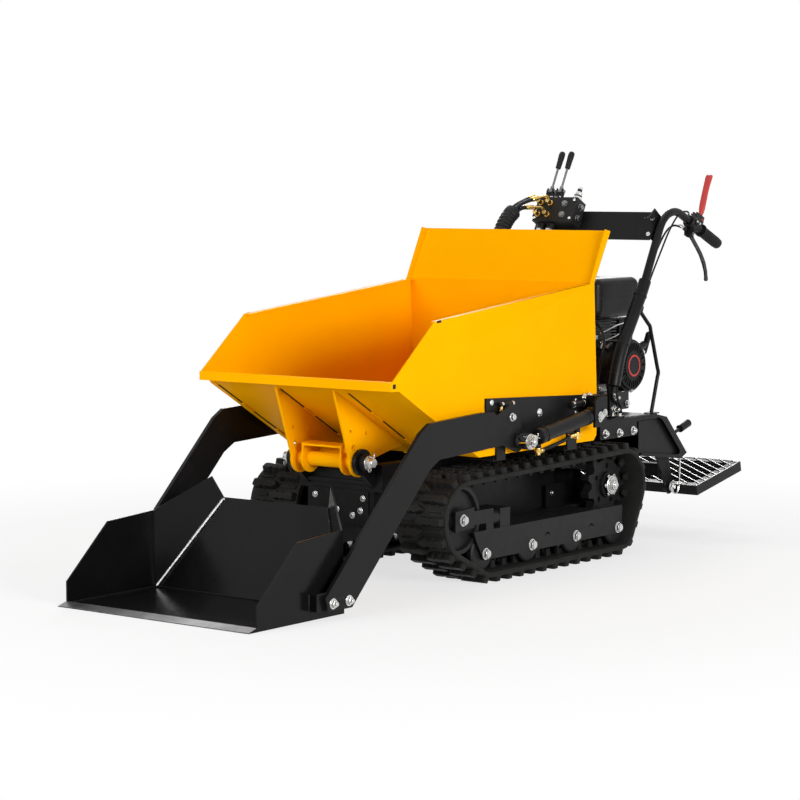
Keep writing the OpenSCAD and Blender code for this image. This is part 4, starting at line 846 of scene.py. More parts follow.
def build_front_plate():
    """The plate bolted to the frame's front, and one at each side in front of the final drive."""
    plate, zinc = pieces(2)
    plate.plate(210, 96, 0, FRONT_T, facing(0, FRONT_Y, 222, -Y, X), 5)
    plate.plate(226, 10, 0, 2 * FRONT_T, facing(0, FRONT_Y, 296, -Y, X), 3)
    for x, z in FRONT_BOLTS:
        zinc.hex_head(facing(x, FRONT_Y - FRONT_T, z, -Y), *BOLT)
    for side in (1, -1):
        plate.plate(270, 118, 0, DRIVE_PLATE_T, facing(side * DRIVE_PLATE_X, 505, 158, X * side, Y), 6)
        for y in DRIVE_BOLT_Y:
            place = facing(side * (DRIVE_PLATE_X + DRIVE_PLATE_T), y, DRIVE_BOLT_Z, X * side)
            zinc.hex_head(place, *BOLT)
    plate.done("front_plate", "black_paint", round_mm=0.8)
    zinc.done("front_plate_bolts", "zinc_steel", round_mm=0.4)


build_bracket_fittings()
build_pins()
build_front_plate()

# Lift cylinders: port bosses, banjo fittings and the hoses to the manifold on each rail


def lift_axis_z(y):
    """The height of the lift cylinder's axis."""
    share = (LIFT_BASE[0] - y) / (LIFT_BASE[0] - LIFT_PIN[0])
    return LIFT_BASE[1] + share * (LIFT_PIN[1] - LIFT_BASE[1])


LIFT_R, PORT_Y, PORT_IN = 22.0, (-17.0, 187.0), 1.0
MANIFOLD_X, MANIFOLD_Y, MANIFOLD_Z = 134.0, (45.0, 75.0), 357.0
BARREL_RINGS = ((40, 1.4), (258, 1.8), (286, 2.2))
HOSE_X, HOSE_RUN = (LIFT_X, 403, 388, 352), (310, 250, 200, 157)
HOSE_AWAY, HOSE_LAST, BANJO_MID = (8, 26, 48), 70, 20.5
PORT = post(9.5, 0, 12, 1, 1)
BANJO = [(0, 12), (8, 12), (8, 14), (10.5, 15), (10.5, 26), (8, 27), (0, 27)]
FERRULE_HALF = [(7.8, 4), (7.2, 5), (7.8, 6), (7.8, 11), (6.6, 12), (0, 12)]
FERRULE = [(r, -z) for r, z in reversed(FERRULE_HALF)] + FERRULE_HALF


def build_lift_hoses(side, name):
    barrel = "lift_barrel_" + name
    bosses, brass, hoses, ferrules, block = pieces(5)
    run = Vector((0, LIFT_PIN[0] - LIFT_BASE[0], LIFT_PIN[1] - LIFT_BASE[1])).normalized()
    for s, wide in BARREL_RINGS:
        inner, outer = LIFT_R + 0.3, LIFT_R + wide
        ring = [(inner, -9), (outer - 0.6, -9), (outer, -8), (outer, 8), (outer - 0.6, 9), (inner, 9)]
        bosses.lathe(ring, at(mm(side * LIFT_X, *LIFT_BASE) + run * s / 1000, run), 40)
    for y, end_y, turn, drop in zip(PORT_Y, MANIFOLD_Y, (1, -1), (10, 14)):
        top = lift_axis_z(y) - LIFT_R + PORT_IN
        port = at(mm(side * LIFT_X, y, top), -Z)
        bosses.lathe(PORT, port, 24)
        brass.lathe(BANJO, port, 24)
        brass.hex_head(port @ Matrix.Translation((0, 0, BANJO[-1][1])), 8.5, 6, washer=0)
        low = top - BANJO_MID
        ways = [y + turn * away for away in HOSE_AWAY] + [(y + turn * HOSE_LAST + end_y) / 2]
        heights = [low, low - 1, (low + MANIFOLD_Z + drop) / 2, MANIFOLD_Z + drop / 2]
        points = list(zip(HOSE_X, ways, heights)) + [(x, end_y, MANIFOLD_Z) for x in HOSE_RUN]
        line = even(smooth_route([mm(side * x, *p) for x, *p in points], 10), 0.006)
        hoses.tube(line, HOSE_R, 14)
        for i in (2, -5):
            ferrules.lathe(FERRULE, at(line[i], line[i + 1] - line[i]), 20)
    bosses.done("lift_ports_" + name, "black_paint", barrel, round_mm=0.4)
    brass.done("lift_banjos_" + name, "brass_fitting", barrel, round_mm=0.4)
    for piece, label, slot in ((hoses, "lift_hoses_", "soft_rubber"),
                               (ferrules, "lift_ferrules_", "brass_fitting")):
        obj = piece.done(label + name, slot, None)
        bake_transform(obj)
    block.plate(36, 62, 0, 13, at(mm(side * MANIFOLD_X, 60, MANIFOLD_Z - 6.8), Z), 3)
    for y in MANIFOLD_Y:
        block.hex_head(at(mm(side * (MANIFOLD_X + 18), y, MANIFOLD_Z), X * side), 8.5, 7, washer=0)
    block.done("rail_manifold_" + name, "cast_dark", round_mm=0.6)


build_lift_hoses(1, "left")
build_lift_hoses(-1, "right")

# Shovel: weld beads, the far-side rear one bare steel as a painted highlight, and the bare cutting edge

SHOVEL_X, SHOVEL_IN, SHOVEL_BEND, LIP_Y, LIP_IN = 344.0, 339.0, -835.0, -1225.0, -1191.0
REAR_SEAM = ((-336, -841, 8), (-189.5, -714, 259))
SOCKET_X, SOCKET_Y, SOCKET_Z, SEAM_R = (345.0, 371.0), (-985.0, -850.0), (27.0, 71.0), 3.4


def build_shovel_welds():
    highlight_bead, painted, bead, edge = pieces(4)
    rear_seam = [ground(*p) for p in REAR_SEAM]
    # The far side's rear seam bead is bare steel only as a painted highlight; the near side's copy is painted
    # black.
    highlight_bead.weld(rear_seam, 5.6, 0.007)
    bead.weld([MIRROR @ p for p in rear_seam], 5.0, 0.006)
    painted.weld([ground(SHOVEL_IN - 1, y, 7) for y in (LIP_IN, SHOVEL_BEND - 8)], SEAM_R)
    painted.weld([ground(x, SHOVEL_BEND - 4, 7.5) for x in (0, SHOVEL_IN - 5)], 3.2)
    for y in SOCKET_Y:
        painted.weld([ground(SOCKET_X[0], y, z) for z in SOCKET_Z], SEAM_R)
    painted.weld([ground(SOCKET_X[1], y, SOCKET_Z[1] + 0.5) for y in SOCKET_Y], SEAM_R)
    bevel = Vector((0, LIP_IN - LIP_Y, 10)).normalized()
    place = at(ground(0, (LIP_IN + LIP_Y) / 2, 6.6), X.cross(bevel), X)
    edge.plate(2 * SHOVEL_X - 3, 32, 0, 0.9, place, 2)
    highlight_bead.done("shovel_weld_highlight", "zinc_steel", "loader")
    bead.done("shovel_rear_bead", "black_paint", "loader")
    edge.done("shovel_bare_edge", "zinc_steel", "loader", look="bare_edge")
    painted.mirrored().done("shovel_welds", "black_paint", "loader")


build_shovel_welds()

# Bin: stitch welds of the sloped front with painted shade as black lines in their seams, beads at the ears, and
# black patches on the sides as painted shade of slots

YOKE_X = 67.0
BIN_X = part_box("bin")[1][0] * 1000
SLOPE_TOP, SLOPE_LOW = Vector((-604.0, 582.0)), Vector((-230.0, 368.0))


def on_slope(x, share, off=0.0):
    """A place on the outside of the bin's sloped front."""
    p = SLOPE_TOP.lerp(SLOPE_LOW, share)
    run = (SLOPE_LOW - SLOPE_TOP).normalized()
    return mm(x, p.x + off * run.y, p.y - off * run.x)


STRIPS = ((-332.0, 18.0), (-97.2, 0.0), (150.0, 32.0))
STRIP_T, STRIP_LONG, YOKE_PLATE_T, SLOT_SHADE_T = 2.6, 0.93, 3.0, 0.7
SEAM_SHARES, BEAD_SHARES = ((0.08, 0.35), (0.5, 0.76)), ((0.36, 0.49), (0.77, 0.9))
SIDE_SLOT_SHADE = ((13, 13, -624, 596, Y), (20, 7, -421, 764, Vector((0, 0.9, 0.1))))


def build_bin_seams():
    strips, painted_shade, beads = pieces(3)
    ahead = on_slope(0, 1) - on_slope(0, 0)
    out = on_slope(0, 0.5, 1) - on_slope(0, 0.5)
    for edge, wide in STRIPS:
        if wide:
            place = at(on_slope(edge - wide / 2, 0.5), out, ahead)
            strips.plate(ahead.length * 1000 * STRIP_LONG, wide, 0, STRIP_T, place, 2)
        # A thin black tube along each seam is painted shade in the open joint.
        for a, b in SEAM_SHARES:
            painted_shade.tube([on_slope(edge + 1.2, share, 1.0) for share in (a, b)], 2.1, 8)
        for a, b in BEAD_SHARES:
            beads.weld([on_slope(edge + 1.5, share, 1.6) for share in (a, b)], 3.6)
    for side in (1, -1):
        for x in (100 * side, 112 * side):
            beads.weld([on_slope(x, share, 1.0) for share in (0.14, 0.8)], 2.6)
        for x in (66 * side, 74 * side):
            beads.weld([mm(x, HINGE[0] + y, HINGE[1] + 47) for y in (-34, 34)], 2.2)
        # Black patches on each side wall are painted shade standing in for small slots.
        for wide, deep, y, z, along in SIDE_SLOT_SHADE:
            painted_shade.plate(wide, deep, 0, SLOT_SHADE_T, facing(side * BIN_X, y, z, X * side, along), 1.5)
    strips.plate(2 * YOKE_X - 1, 46, 0, YOKE_PLATE_T, at(mm(0, HINGE[0] + 33, HINGE[1] + 17.5), Y, X), 3)
    strips.done("bin_slope_strips", "yellow_paint", "bin", round_mm=0.5)
    painted_shade.done("bin_painted_shade", "black_paint", "bin")
    beads.done("bin_weld_beads", "yellow_paint", "bin")


build_bin_seams()

# Rear: handle tubes, bolts, cover edges, latch, braces and platform

DECK_X, PLATFORM_AT, PLATFORM_TILT = 250.0, (1044.0, 152.0), math.radians(11)
PLATFORM_X, PLATFORM_Y, PLATFORM_TOP, PLATFORM_H = 300.0, (14.0, 304.0), 4.0, 33.0
STRAND_FROM, STRAND_STEP, STRAND_SLANT = 349.0, 50.3, 1.43
on_platform = tilted(PLATFORM_AT, -PLATFORM_TILT)
PLATFORM_UP = direction(on_platform, 0, 1)
BRACKET = [(658, DECK_Z + 6), (702, DECK_Z + 6), (702, 500), (692, 556), (655, 556), (650, 508), (658, 480)]
EDGE_OUT = [(884, 404.5), (930, 395), (948, 390), (960, 380), (1060, 279), (1068, 268), (1064, 258),
            (1044, 251), (1000, 253.5), (800, 277.5)]
EDGE_IN = [(884, 396), (914, 388), (924, 382), (934, 373), (1030, 277), (1034, 270), (1031, 264), (1020, 262),
           (996, 263.5), (800, 285)]
EDGE_RAIL = [(0, 0), (8, 0), (10.5, 2.5), (10.5, 330), (8, 333), (0, 333)]
HOOK = [(232, 1058, 262), (232, 1062, 240), (232, 1061, 190), (232, 1058, 150), (230, 1046, 131),
        (226, 1030, 136), (223, 1025, 150)]
BRACE_R, BRACE_BENDS, BRACE_FOOT_Y, FOOT_T = 6.2, ((866, 688), (919, 536)), 879.0, 4.0
BRACKET_SIDE_X, BRACKET_PLATE_T, SHIFT_PLATE_X = 209.0, 10.0, 196.0
DECK_STUDS, BRACKET_STUDS = ((583, 364), (664, 361), (746, 362)), ((682, 470), (680, 433))
FOOT_BOLTS, COVER_BOLTS = ((215, 638), (215, 680), (241, 680)), ((222, 886), (240, 892))
SHIFT_BOLTS = ((964, 308), (950, 326))


def side_sheet(piece, outline, x, thick):
    """A sheet cut to an outline of the side view, from x outwards."""
    piece.prism(outline, 0, thick, at(mm(x, 0, 0), X, Y))


def build_handle_tubes():
    """Handle columns that end on flat brackets, the thinner tubes above them and the bends to the grips."""
    tubes, plates = pieces(2)
    tubes.tube(smooth_route([mm(HANDLE_X, *p) for p in COLUMN_LINE], 6), COLUMN_R, 40)
    first, last = math.pi - LEAN, math.pi / 2 - GRIP_DROP
    arc = [BEND_AT + on_circle(BEND_R, first + (last - first) * k / 20) for k in range(21)]
    below = [COLUMN_TOP.lerp(BEND_FROM, share) for share in (-0.06, 0.5)]
    line = below + arc + [BEND_TO.lerp(TUBE_END, 0.5), TUBE_END]
    tubes.tube([mm(HANDLE_X, *p) for p in line], TUBE_R, 28)
    side_sheet(plates, BRACKET, BRACKET_SIDE_X, BRACKET_PLATE_T)
    plates.plate(38, 60, 4, 8, facing(HANDLE_X - 7, 678, DECK_Z, Z), 4)
    tubes.mirrored().done("handle_tube_set", "black_paint", stands_for=["handle_tubes"])
    plates.mirrored().done("handle_brackets", "black_paint", round_mm=1.0)


def build_rear_bolts():
    zinc = Piece()
    for y, z in DECK_STUDS:
        zinc.nut_and_stud(facing(DECK_X, y, z), 10.5, 8, 4)
    for y, z in BRACKET_STUDS:
        zinc.nut_and_stud(facing(BRACKET_SIDE_X + BRACKET_PLATE_T, y, z), 9.5, 7, 13)
        zinc.hex_head(facing(BRACKET_SIDE_X, y, z, -X), 9.5, 6)
    for x, y in FOOT_BOLTS:
        zinc.hex_head(facing(x, y, DECK_Z + 8, Z), 7.5, 6)
    for x, y in COVER_BOLTS:
        zinc.hex_head(facing(x, y, DECK_Z - 3, Z), 6.0, 5)
    zinc.nut_and_stud(facing(213, *PLATFORM_AT), 12, 8, 3)
    zinc.mirrored()
    for y, z in SHIFT_BOLTS:
        zinc.hex_head(facing(SHIFT_PLATE_X, y, z), 5.0, 4)
    zinc.done("rear_bolts", "zinc_steel", round_mm=0.5)


def build_deck_edges():
    """The rear cover's flange, the rail along the deck's edge and the sheet that closes the cover's side."""
    edges = Piece()
    x0, x1 = DECK_X - 3.5, DECK_X + 0.6
    edges.loft([[mm(x0, *a), mm(x0, *b), mm(x1, *b), mm(x1, *a)] for a, b in zip(EDGE_OUT, EDGE_IN)])
    edges.lathe(EDGE_RAIL, facing(DECK_X - 9, 560, DECK_Z - 8, Y), 28)
    side_sheet(edges, EDGE_OUT + [(800, 396)], DECK_X - 16, 3)
    edges.mirrored().done("deck_edges", "black_paint", round_mm=0.8)


def build_latch():
    latch = Piece()
    latch.tube(smooth_route([mm(*p) for p in HOOK], 8), 3.2, 10)
    latch.lathe(rectangle(3.4, 0, 8, 5), facing(HOOK[0][0], 1060, 252, -Z), 20)
    latch.done("platform_latch", "zinc_steel")


def build_braces():
    braces, feet = pieces(2)
    top = on_column(390, COLUMN_R + 0.3)
    corner = [top] + [Vector(p) for p in BRACE_BENDS] + [Vector((BRACE_FOOT_Y, DECK_Z + FOOT_T))]
    line = [corner[0]]
    for i in (1, 2):
        line += [corner[i].lerp(corner[i - 1], 0.16), corner[i], corner[i].lerp(corner[i + 1], 0.16)]
    line.append(corner[3])
    braces.tube(smooth_route([mm(HANDLE_X, *p) for p in line], 8), BRACE_R, 16)
    feet.plate(34, 46, 0, FOOT_T, facing(HANDLE_X - 2, 884, DECK_Z + 0.2, Z), 5)
    off_column = Vector((0, math.cos(COLUMN_LEAN), -math.sin(COLUMN_LEAN)))
    feet.plate(26, 30, 0, FOOT_T, at(mm(HANDLE_X, *top), off_column, X), 5)
    braces.mirrored().done("brace_rods", "black_paint", stands_for=["handle_braces"])
    feet.mirrored().done("brace_feet", "black_paint", round_mm=0.6)


def clip_x(ends, limit):
    """The part of a line between -limit and limit in x, or nothing if it is short."""
    (xa, ya), (xb, yb) = ends
    if max(xa, xb) <= -limit or min(xa, xb) >= limit:
        return None
    kept = [max(-limit, min(limit, x)) for x in (xa, xb)]
    out = [(x, ya + (yb - ya) * (x - xa) / (xb - xa)) for x in kept]
    return out if math.dist(*out) > SHORT_STRAND else None


FLANGE, SHEET, KNUCKLE_AT, KNUCKLE_W, EAR_GAP = 30.0, 4.0, 189.0, 8.6, (196.0, 210.0)
STRAND_DEEP, SHORT_STRAND, STRAND_RISE, LOW_RISE = -11.0, 20.0, 2.6, 0.2
STRANDS, STRAND_Y, PLATFORM_BOLT_X = range(-20, 24), 32.0, 230.0
KNUCKLE = drum(18, 0, KNUCKLE_W, 1, 1)
KNUCKLE_PIN = post(8, KNUCKLE_W, 23, 1, 1)


def build_platform():
    """The folding platform: flanged frame, hinge knuckles, and expanded metal with raised strands, whose tops in
    one set and the frame's rim edges carry painted highlights.
    """
    steel, strands, worn, bolts = pieces(4)
    flat = at(on_platform(0, 0, 0), PLATFORM_UP, X)
    (y0, y1), w, top, low = PLATFORM_Y, PLATFORM_X, PLATFORM_TOP, PLATFORM_TOP - PLATFORM_H
    under, inside = top - SHEET, w - FLANGE

    def block(x0, x1, y, z):
        steel.prism(rectangle(x0, y[0], x1, y[1]), *z, flat)

    profile = [(w, low), (w, top), (inside, top), (inside, under), (w - SHEET, under), (w - SHEET, low)]
    for side in (1, -1):
        steel.prism([(side * x, -z) for x, z in profile], y0, y1,
                    flat @ Matrix.Rotation(-math.pi / 2, 4, "X"))
    block(-inside, inside, (y1 - FLANGE, y1), (under, top))
    block(SHEET - w, w - SHEET, (y1 - SHEET, y1), (low, under))
    block(-inside, inside, (FLANGE, y0 + FLANGE), (under, top))
    near, far = EAR_GAP
    for x0, x1 in ((SHEET - w, -far), (-near, near), (far, w - SHEET)):
        block(x0, x1, (y0, y0 + SHEET), (low, under))
        block(max(x0, -inside), min(x1, inside), (y0, FLANGE), (under, top))
    for side in (1, -1):
        knuckle = at(on_platform(side * KNUCKLE_AT, 0, 0), X * side)
        steel.lathe(KNUCKLE, knuckle, 36)
        steel.lathe(KNUCKLE_PIN, knuckle, 24)
        block(side * KNUCKLE_AT, side * (KNUCKLE_AT + KNUCKLE_W), (4, y0 + 2), (low, 10))
    for sign, rise in ((1, STRAND_RISE), (-1, LOW_RISE)):
        for k in STRANDS:
            start = STRAND_FROM + STRAND_STEP * k
            ends = clip_x([(sign * (start - STRAND_SLANT * y), y) for y in (STRAND_Y, y1 - 1)], w - 1.5)
            if not ends:
                continue
            a, b = (flat @ Vector((*p, top)) for p in ends)
            place, long = at(a, b - a, PLATFORM_UP), (b - a).length * 1000
            strands.prism([(STRAND_DEEP, -1.5), (rise, -0.9), (rise, 0.9), (STRAND_DEEP, 1.5)], 0, long,
                          place)
            if sign > 0:
                # The tops of this one set of strands get a light grey strip: a painted highlight where they catch
                # the light.
                foot, tip = rise - 0.4, rise + 0.9
                worn.prism([(foot, -1.2), (tip, -0.7), (tip, 0.7), (foot, 1.2)], 0, long, place)
    # A light grey tube along the frame's far and rear edges is a painted highlight.
    corner = ((w - 1.4, y0 + 1), (w - 1.4, y1 - 12), (w - 13, y1 - 1.4), (0, y1 - 1.4))
    rim = [flat @ Vector((*p, top + 0.5)) for p in corner]
    for line in (rim, [MIRROR @ p for p in rim]):
        worn.tube(even(line, 0.02), 1.3, 8)
    for x in (-PLATFORM_BOLT_X, PLATFORM_BOLT_X):
        bolts.hex_head(at(on_platform(x, y0 + 8, top), PLATFORM_UP), 6, 4)
    steel.done("platform_frame", "black_paint", "platform", round_mm=0.8, stands_for=["platform"])
    strands.done("platform_mesh", "black_paint", "platform", look="mesh_steel")
    worn.done("platform_strand_highlights", "zinc_steel", "platform", look="painted_highlight_grey")
    bolts.done("platform_bolts", "zinc_steel", "platform", round_mm=0.4)


build_handle_tubes()
build_rear_bolts()
build_deck_edges()
build_latch()
build_braces()
build_platform()

# Sprockets: hub nut, washer and screws

HUB_WASHER = post(31, 0, 4, 2, 1.5)
HUB_SCREWS_R = 31.0


def build_hub(side, name):
    hub = Piece()

    def on_hub(out, off=Vector((0, 0))):
        return at(ground(side * (SPROCKET_X + out), *(Vector(SPROCKET) + off)), X * side)

    hub.lathe(HUB_WASHER, on_hub(10.2), 40)
    hub.nut_and_stud(on_hub(14.2), 18, 9, 3)
    for p in circle(HUB_SCREWS_R, 6):
        hub.hex_head(on_hub(6.2, p), 6.5, 4, washer=0)
    hub.done("hub_nut_" + name, "zinc_steel", "sprocket_" + name, round_mm=0.5)


build_hub(1, "left")
build_hub(-1, "right")

# Engine: starter cover with painted highlights, tank seam, shroud, carburettor and control rods

ENGINE_Y, CRANK_Z, RECOIL_X = 825.0, 562.0, 202.0
RECOIL_RING = [(29, 0), (35, 0), (35, 1.6), (34, 2.2), (30, 2.2), (29, 1.6)]
RECOIL_BADGE = [(0, 0), (29, 0), (29, 1.2), (26, 1.6), (25, 1.2), (12, 1.8), (0, 1.8)]
RECOIL_RIM = [(72, -8), (76, -8), (77.5, -6), (77.5, -1), (75, 1), (72, 1)]
RECOIL_RIBS, RECOIL_RIB = 32, rectangle(50, -1.6, 72, 1.6)
RECOIL_FACE, RECOIL_SCREWS_R, RECOIL_HIGHLIGHTS_R = RECOIL_X - 4, 79.0, 84.2
TANK_X, TANK_Y, TANK_Z, TANK_CORNER = 151.6, (690.4, 947.6), 779.0, 26.0
SHROUD_TOP = [(-112, 735), (112, 735), (118, 760), (118, 890), (-118, 890), (-118, 760)]
CARBURETTOR = [(0, 0), (17, 0), (17, 6), (13, 8), (13, 26), (16, 28), (16, 34), (0, 34)]
OIL_FILLER = [(0, 0), (9, 0), (9, 20), (12, 22), (12, 30), (0, 30)]
ENGINE_BOLTS = ((131, -88, 492, 6, 5), (131, -32, 492, 6, 5), (121, -92, 430, 8, 6), (121, 86, 430, 8, 6))
THROTTLE_ROD = ((136, -96, 668), (142, -70, 676), (146, -20, 690), (142, 30, 696))
GOVERNOR_ROD = ((132, -92, 640), (150, -60, 650), (150, -10, 662))
FUEL_HOSE = ((60, -70, 700), (120, -84, 690), (150, -96, 640), (140, -104, 560), (124, -100, 500))


def by_crank(x, y, z, axis=X, side=None):
    """A place with y counted from the crankshaft."""
    return facing(x, ENGINE_Y + y, z, axis, side)


def build_recoil(ring, dark, zinc):
    centre, face = by_crank(RECOIL_X, 0, CRANK_Z), by_crank(RECOIL_FACE, 0, CRANK_Z)
    ring.lathe(RECOIL_RING, centre, 56)
    dark.lathe(RECOIL_BADGE, centre, 48)
    dark.lathe(RECOIL_RIM, face, 64)
    for k in range(RECOIL_RIBS):
        turn = Matrix.Rotation(math.tau * (k + 0.5) / RECOIL_RIBS, 4, "Z")
        dark.prism(RECOIL_RIB, 0, 3, face @ turn)
    for degrees in (30, 150, 270):
        y, z = on_circle(RECOIL_SCREWS_R, math.radians(degrees))
        zinc.hex_head(by_crank(RECOIL_X - 12, y, CRANK_Z + z), *SMALL_BOLT)
    # Nine small zinc-grey dashes around one side of the starter cover are painted highlights.
    for k in range(9):
        y, z = on_circle(RECOIL_HIGHLIGHTS_R, math.radians(-58 + 14 * k))
        zinc.plate(20, 7, -0.6, 0.8, by_crank(RECOIL_X - 30, y, CRANK_Z + z, Vector((0, y, z)), X), 2)


def build_engine():
    ring, dark, zinc, alloy, shroud = pieces(5)
    build_recoil(ring, dark, zinc)
    (y0, y1), c = TANK_Y, TANK_CORNER
    half = [(TANK_X - c, y0), (TANK_X, y0 + c), (TANK_X, y1 - c), (TANK_X - c, y1)]
    seam = half + [(-x, y) for x, y in reversed(half)]
    shroud.prism(seam, -2.5, 2.5, at(mm(0, 0, TANK_Z), Z, X))
    shroud.prism(SHROUD_TOP, 0, 3, at(mm(0, 0, 706), Z, X))
    for x in (-70, -35, 0, 35, 70):
        shroud.plate(20, 5, 0, 3, by_crank(x, 82, 610, Y, Z), 2)
    alloy.lathe(CARBURETTOR, by_crank(105, -38, 620), 30)
    alloy.lathe(OIL_FILLER, by_crank(128, -62, 470), 24)
    alloy.plate(64, 22, 0, 10, by_crank(121, -60, 492, X, Y), 4)
    for x, y, z, size, tall in ENGINE_BOLTS:
        zinc.hex_head(by_crank(x, y, z), size, tall)
    zinc.plate(30, 14, 0, 2.5, by_crank(105.2, -84, 652, X, Y), 3)
    for piece, way, r, steps, sides in ((zinc, THROTTLE_ROD, 2.2, 8, 8), (zinc, GOVERNOR_ROD, 1.8, 8, 8),
                                        (dark, FUEL_HOSE, 4.6, 10, 12)):
        piece.tube(smooth_route([mm(x, ENGINE_Y + y, z) for x, y, z in way], steps), r, sides)
    ring.done("recoil_ring", "red_lever")
    dark.done("recoil_ribs", "black_plastic", round_mm=0.4)
    zinc.done("engine_screws_and_highlights", "zinc_steel", round_mm=0.4)
    alloy.done("carburettor", "cast_alloy", round_mm=0.8)
    shroud.done("engine_shroud", "black_paint", round_mm=0.8)


build_engine()

# Valve: lever rods, clevises, relief adjuster, spool caps and bolts

VALVE_MID, VALVE_PIVOT = -PANEL_T - 0.3 - VALVE_D / 2, VALVE_BASE + VALVE_H + 34
ROD, ROD_NUT = rectangle(0, 0, 3.9, 90), [(3.9, 8), (7.2, 8), (7.2, 16), (6, 18), (3.9, 18)]
CLEVIS, CLEVIS_PIN = drum(8, -7.5, 7.5, 1, 1), rectangle(0, -14, 4, 14)
KNOB = [(0, 85), (7.6, 85), (8.8, 86.5), (9.2, 96), (9.0, 98), (9.4, 100), (9.8, 112), (9.6, 114),
        (10.0, 116), (10.6, 132), (10.4, 139), (9, 144), (6, 146.6), (0, 147)]
RELIEF_SLEEVE = [(8.2, 14), (9.6, 14), (9.6, 24), (8.2, 26)]
RELIEF_SCREW = [(0, 32), (6.2, 32), (6.2, 40), (8.6, 41), (8.6, 47), (6, 50), (0, 50)]
SPOOL_CAP = [(14.1, 0), (19, 0), (19, 5), (18, 6), (14.1, 6)]
SPOOL_BOOT = [(9, 13.6), (13, 13.6), (14.6, 16), (11, 19), (13.4, 22), (10, 25), (12, 28), (9, 30)]
SPOOL_SCREW, SPOOL_SCREW_AT = post(3, 5, 9, 0.8, 0.6), 15.5
BLOCK_SCREW = post(5, 0, 6, 0.8, 1)
BLOCK_SCREWS = ((-206, 10), (-206, 78), (-68, 10), (-68, 76))
PLUG_Z, PLUG_END_X, PLUG_FRONT_X = (VALVE_BASE + 24, VALVE_BASE + 64), -60.0, -104.0
PANEL_BOLT_X, PANEL_BOLT_Z = (-140, -44, 4), 14.0
PANEL_FLANGE_X, PANEL_END_X, PANEL_END_Z = 211.0, 218.0, (20, 76)
GUSSET, GUSSET_HOLE = [(-42, -12), (44, -12), (0, 19)], capsule(30, 12, 6)
GUSSET_X, GUSSET_AT, GUSSET_FOOT = 213.0, (921, 1045), (922, 1031)


def build_valve_levers():
    for k, x in enumerate(VALVE_X, 1):
        lever = f"valve_lever_{k}"
        rod, knob = pieces(2)
        base = at(on_panel(x, VALVE_MID, VALVE_PIVOT), PANEL_UP, X)
        across = base @ Matrix.Rotation(math.pi / 2, 4, "Y")
        for profile, place, sides in ((ROD, base, 18), (ROD_NUT, base, 6), (CLEVIS, across, 24),
                                      (CLEVIS_PIN, across, 16)):
            rod.lathe(profile, place, sides)
        for side in (1, -1):
            turn = base @ Matrix.Rotation(math.pi / 2 * side, 4, "Y")
            rod.hex_head(turn @ Matrix.Translation((0, 0, 12.4)), 6.5, 4, washer=0)
        # The chrome rod is shown as dark grey metal: painted shade.
        rod.done(f"valve_rod_{k}", "chrome_rod", lever, round_mm=0.3, stands_for=[lever], look="rod_shade_and_wear")
        knob.lathe(KNOB, base, 32)
        knob.done(f"valve_knob_{k}", "soft_rubber", lever, sharp=60)


def build_valve():
    zinc, dark, shaded_plugs, gusset = pieces(4)
    low, top = VALVE_BASE, VALVE_BASE + VALVE_H
    relief = at(on_panel(-80, VALVE_MID, top - 0.4), PANEL_UP, X)
    zinc.hex_head(relief, 17, 12, washer=1.2)
    zinc.lathe(RELIEF_SLEEVE, relief, 28)
    zinc.hex_head(relief @ Matrix.Translation((0, 0, 24)), 12.5, 8, washer=0)
    zinc.lathe(RELIEF_SCREW, relief, 24)
    for x in VALVE_X:
        cap = at(on_panel(x, VALVE_MID, top - 0.3), PANEL_UP, X)
        zinc.lathe(SPOOL_CAP, cap, 36)
        for u, v in rectangle(-SPOOL_SCREW_AT, -SPOOL_SCREW_AT, SPOOL_SCREW_AT, SPOOL_SCREW_AT):
            zinc.lathe(SPOOL_SCREW, cap @ Matrix.Translation((u, v, 0)), 12)
        dark.lathe(SPOOL_BOOT, cap, 28)
        zinc.hex_head(at(on_panel(x, VALVE_MID, low - 17.6), -PANEL_UP, X), 13.6, 7, washer=0)
    for x, rise in BLOCK_SCREWS:
        zinc.lathe(BLOCK_SCREW, at(on_panel(x, VALVE_FRONT, low + rise), -PANEL_OUT), 20)
    # The plugs are zinc darkened as painted shade.
    for z in PLUG_Z:
        shaded_plugs.hex_head(at(on_panel(PLUG_END_X, VALVE_MID, z), X), 10, 8, washer=1.15)
        shaded_plugs.hex_head(at(on_panel(PLUG_FRONT_X, VALVE_FRONT, z), -PANEL_OUT), 9, 6, washer=1.2)
    for x in PANEL_BOLT_X:
        zinc.hex_head(at(on_panel(x, -PANEL_T, PANEL_BOLT_Z), -PANEL_OUT), *BOLT)
        zinc.hex_head(at(on_panel(x, 0, PANEL_BOLT_Z), PANEL_OUT), 7, 6)
    for side in (1, -1):
        for z in PANEL_END_Z:
            zinc.hex_head(at(on_panel(PANEL_FLANGE_X * side, -PANEL_T, z), -PANEL_OUT), 5.5, 4.5)
            zinc.hex_head(at(on_panel(PANEL_END_X * side, 15, z), -X * side), *BOLT)
        ring_of(gusset, GUSSET, GUSSET_HOLE, 4, facing(side * GUSSET_X, *GUSSET_AT, X * side, Y), side)
        gusset.plate(94, 14, 0, 3, facing(side * (GUSSET_X - 1), *GUSSET_FOOT, Z, Y), 2)
    shaded_plugs.done("valve_plugs", "zinc_steel", round_mm=0.4, look="rod_shade_and_wear")
    zinc.done("valve_screws", "zinc_steel", round_mm=0.4)
    dark.done("spool_boots", "soft_rubber")
    gusset.done("panel_gussets", "black_paint", round_mm=0.4)


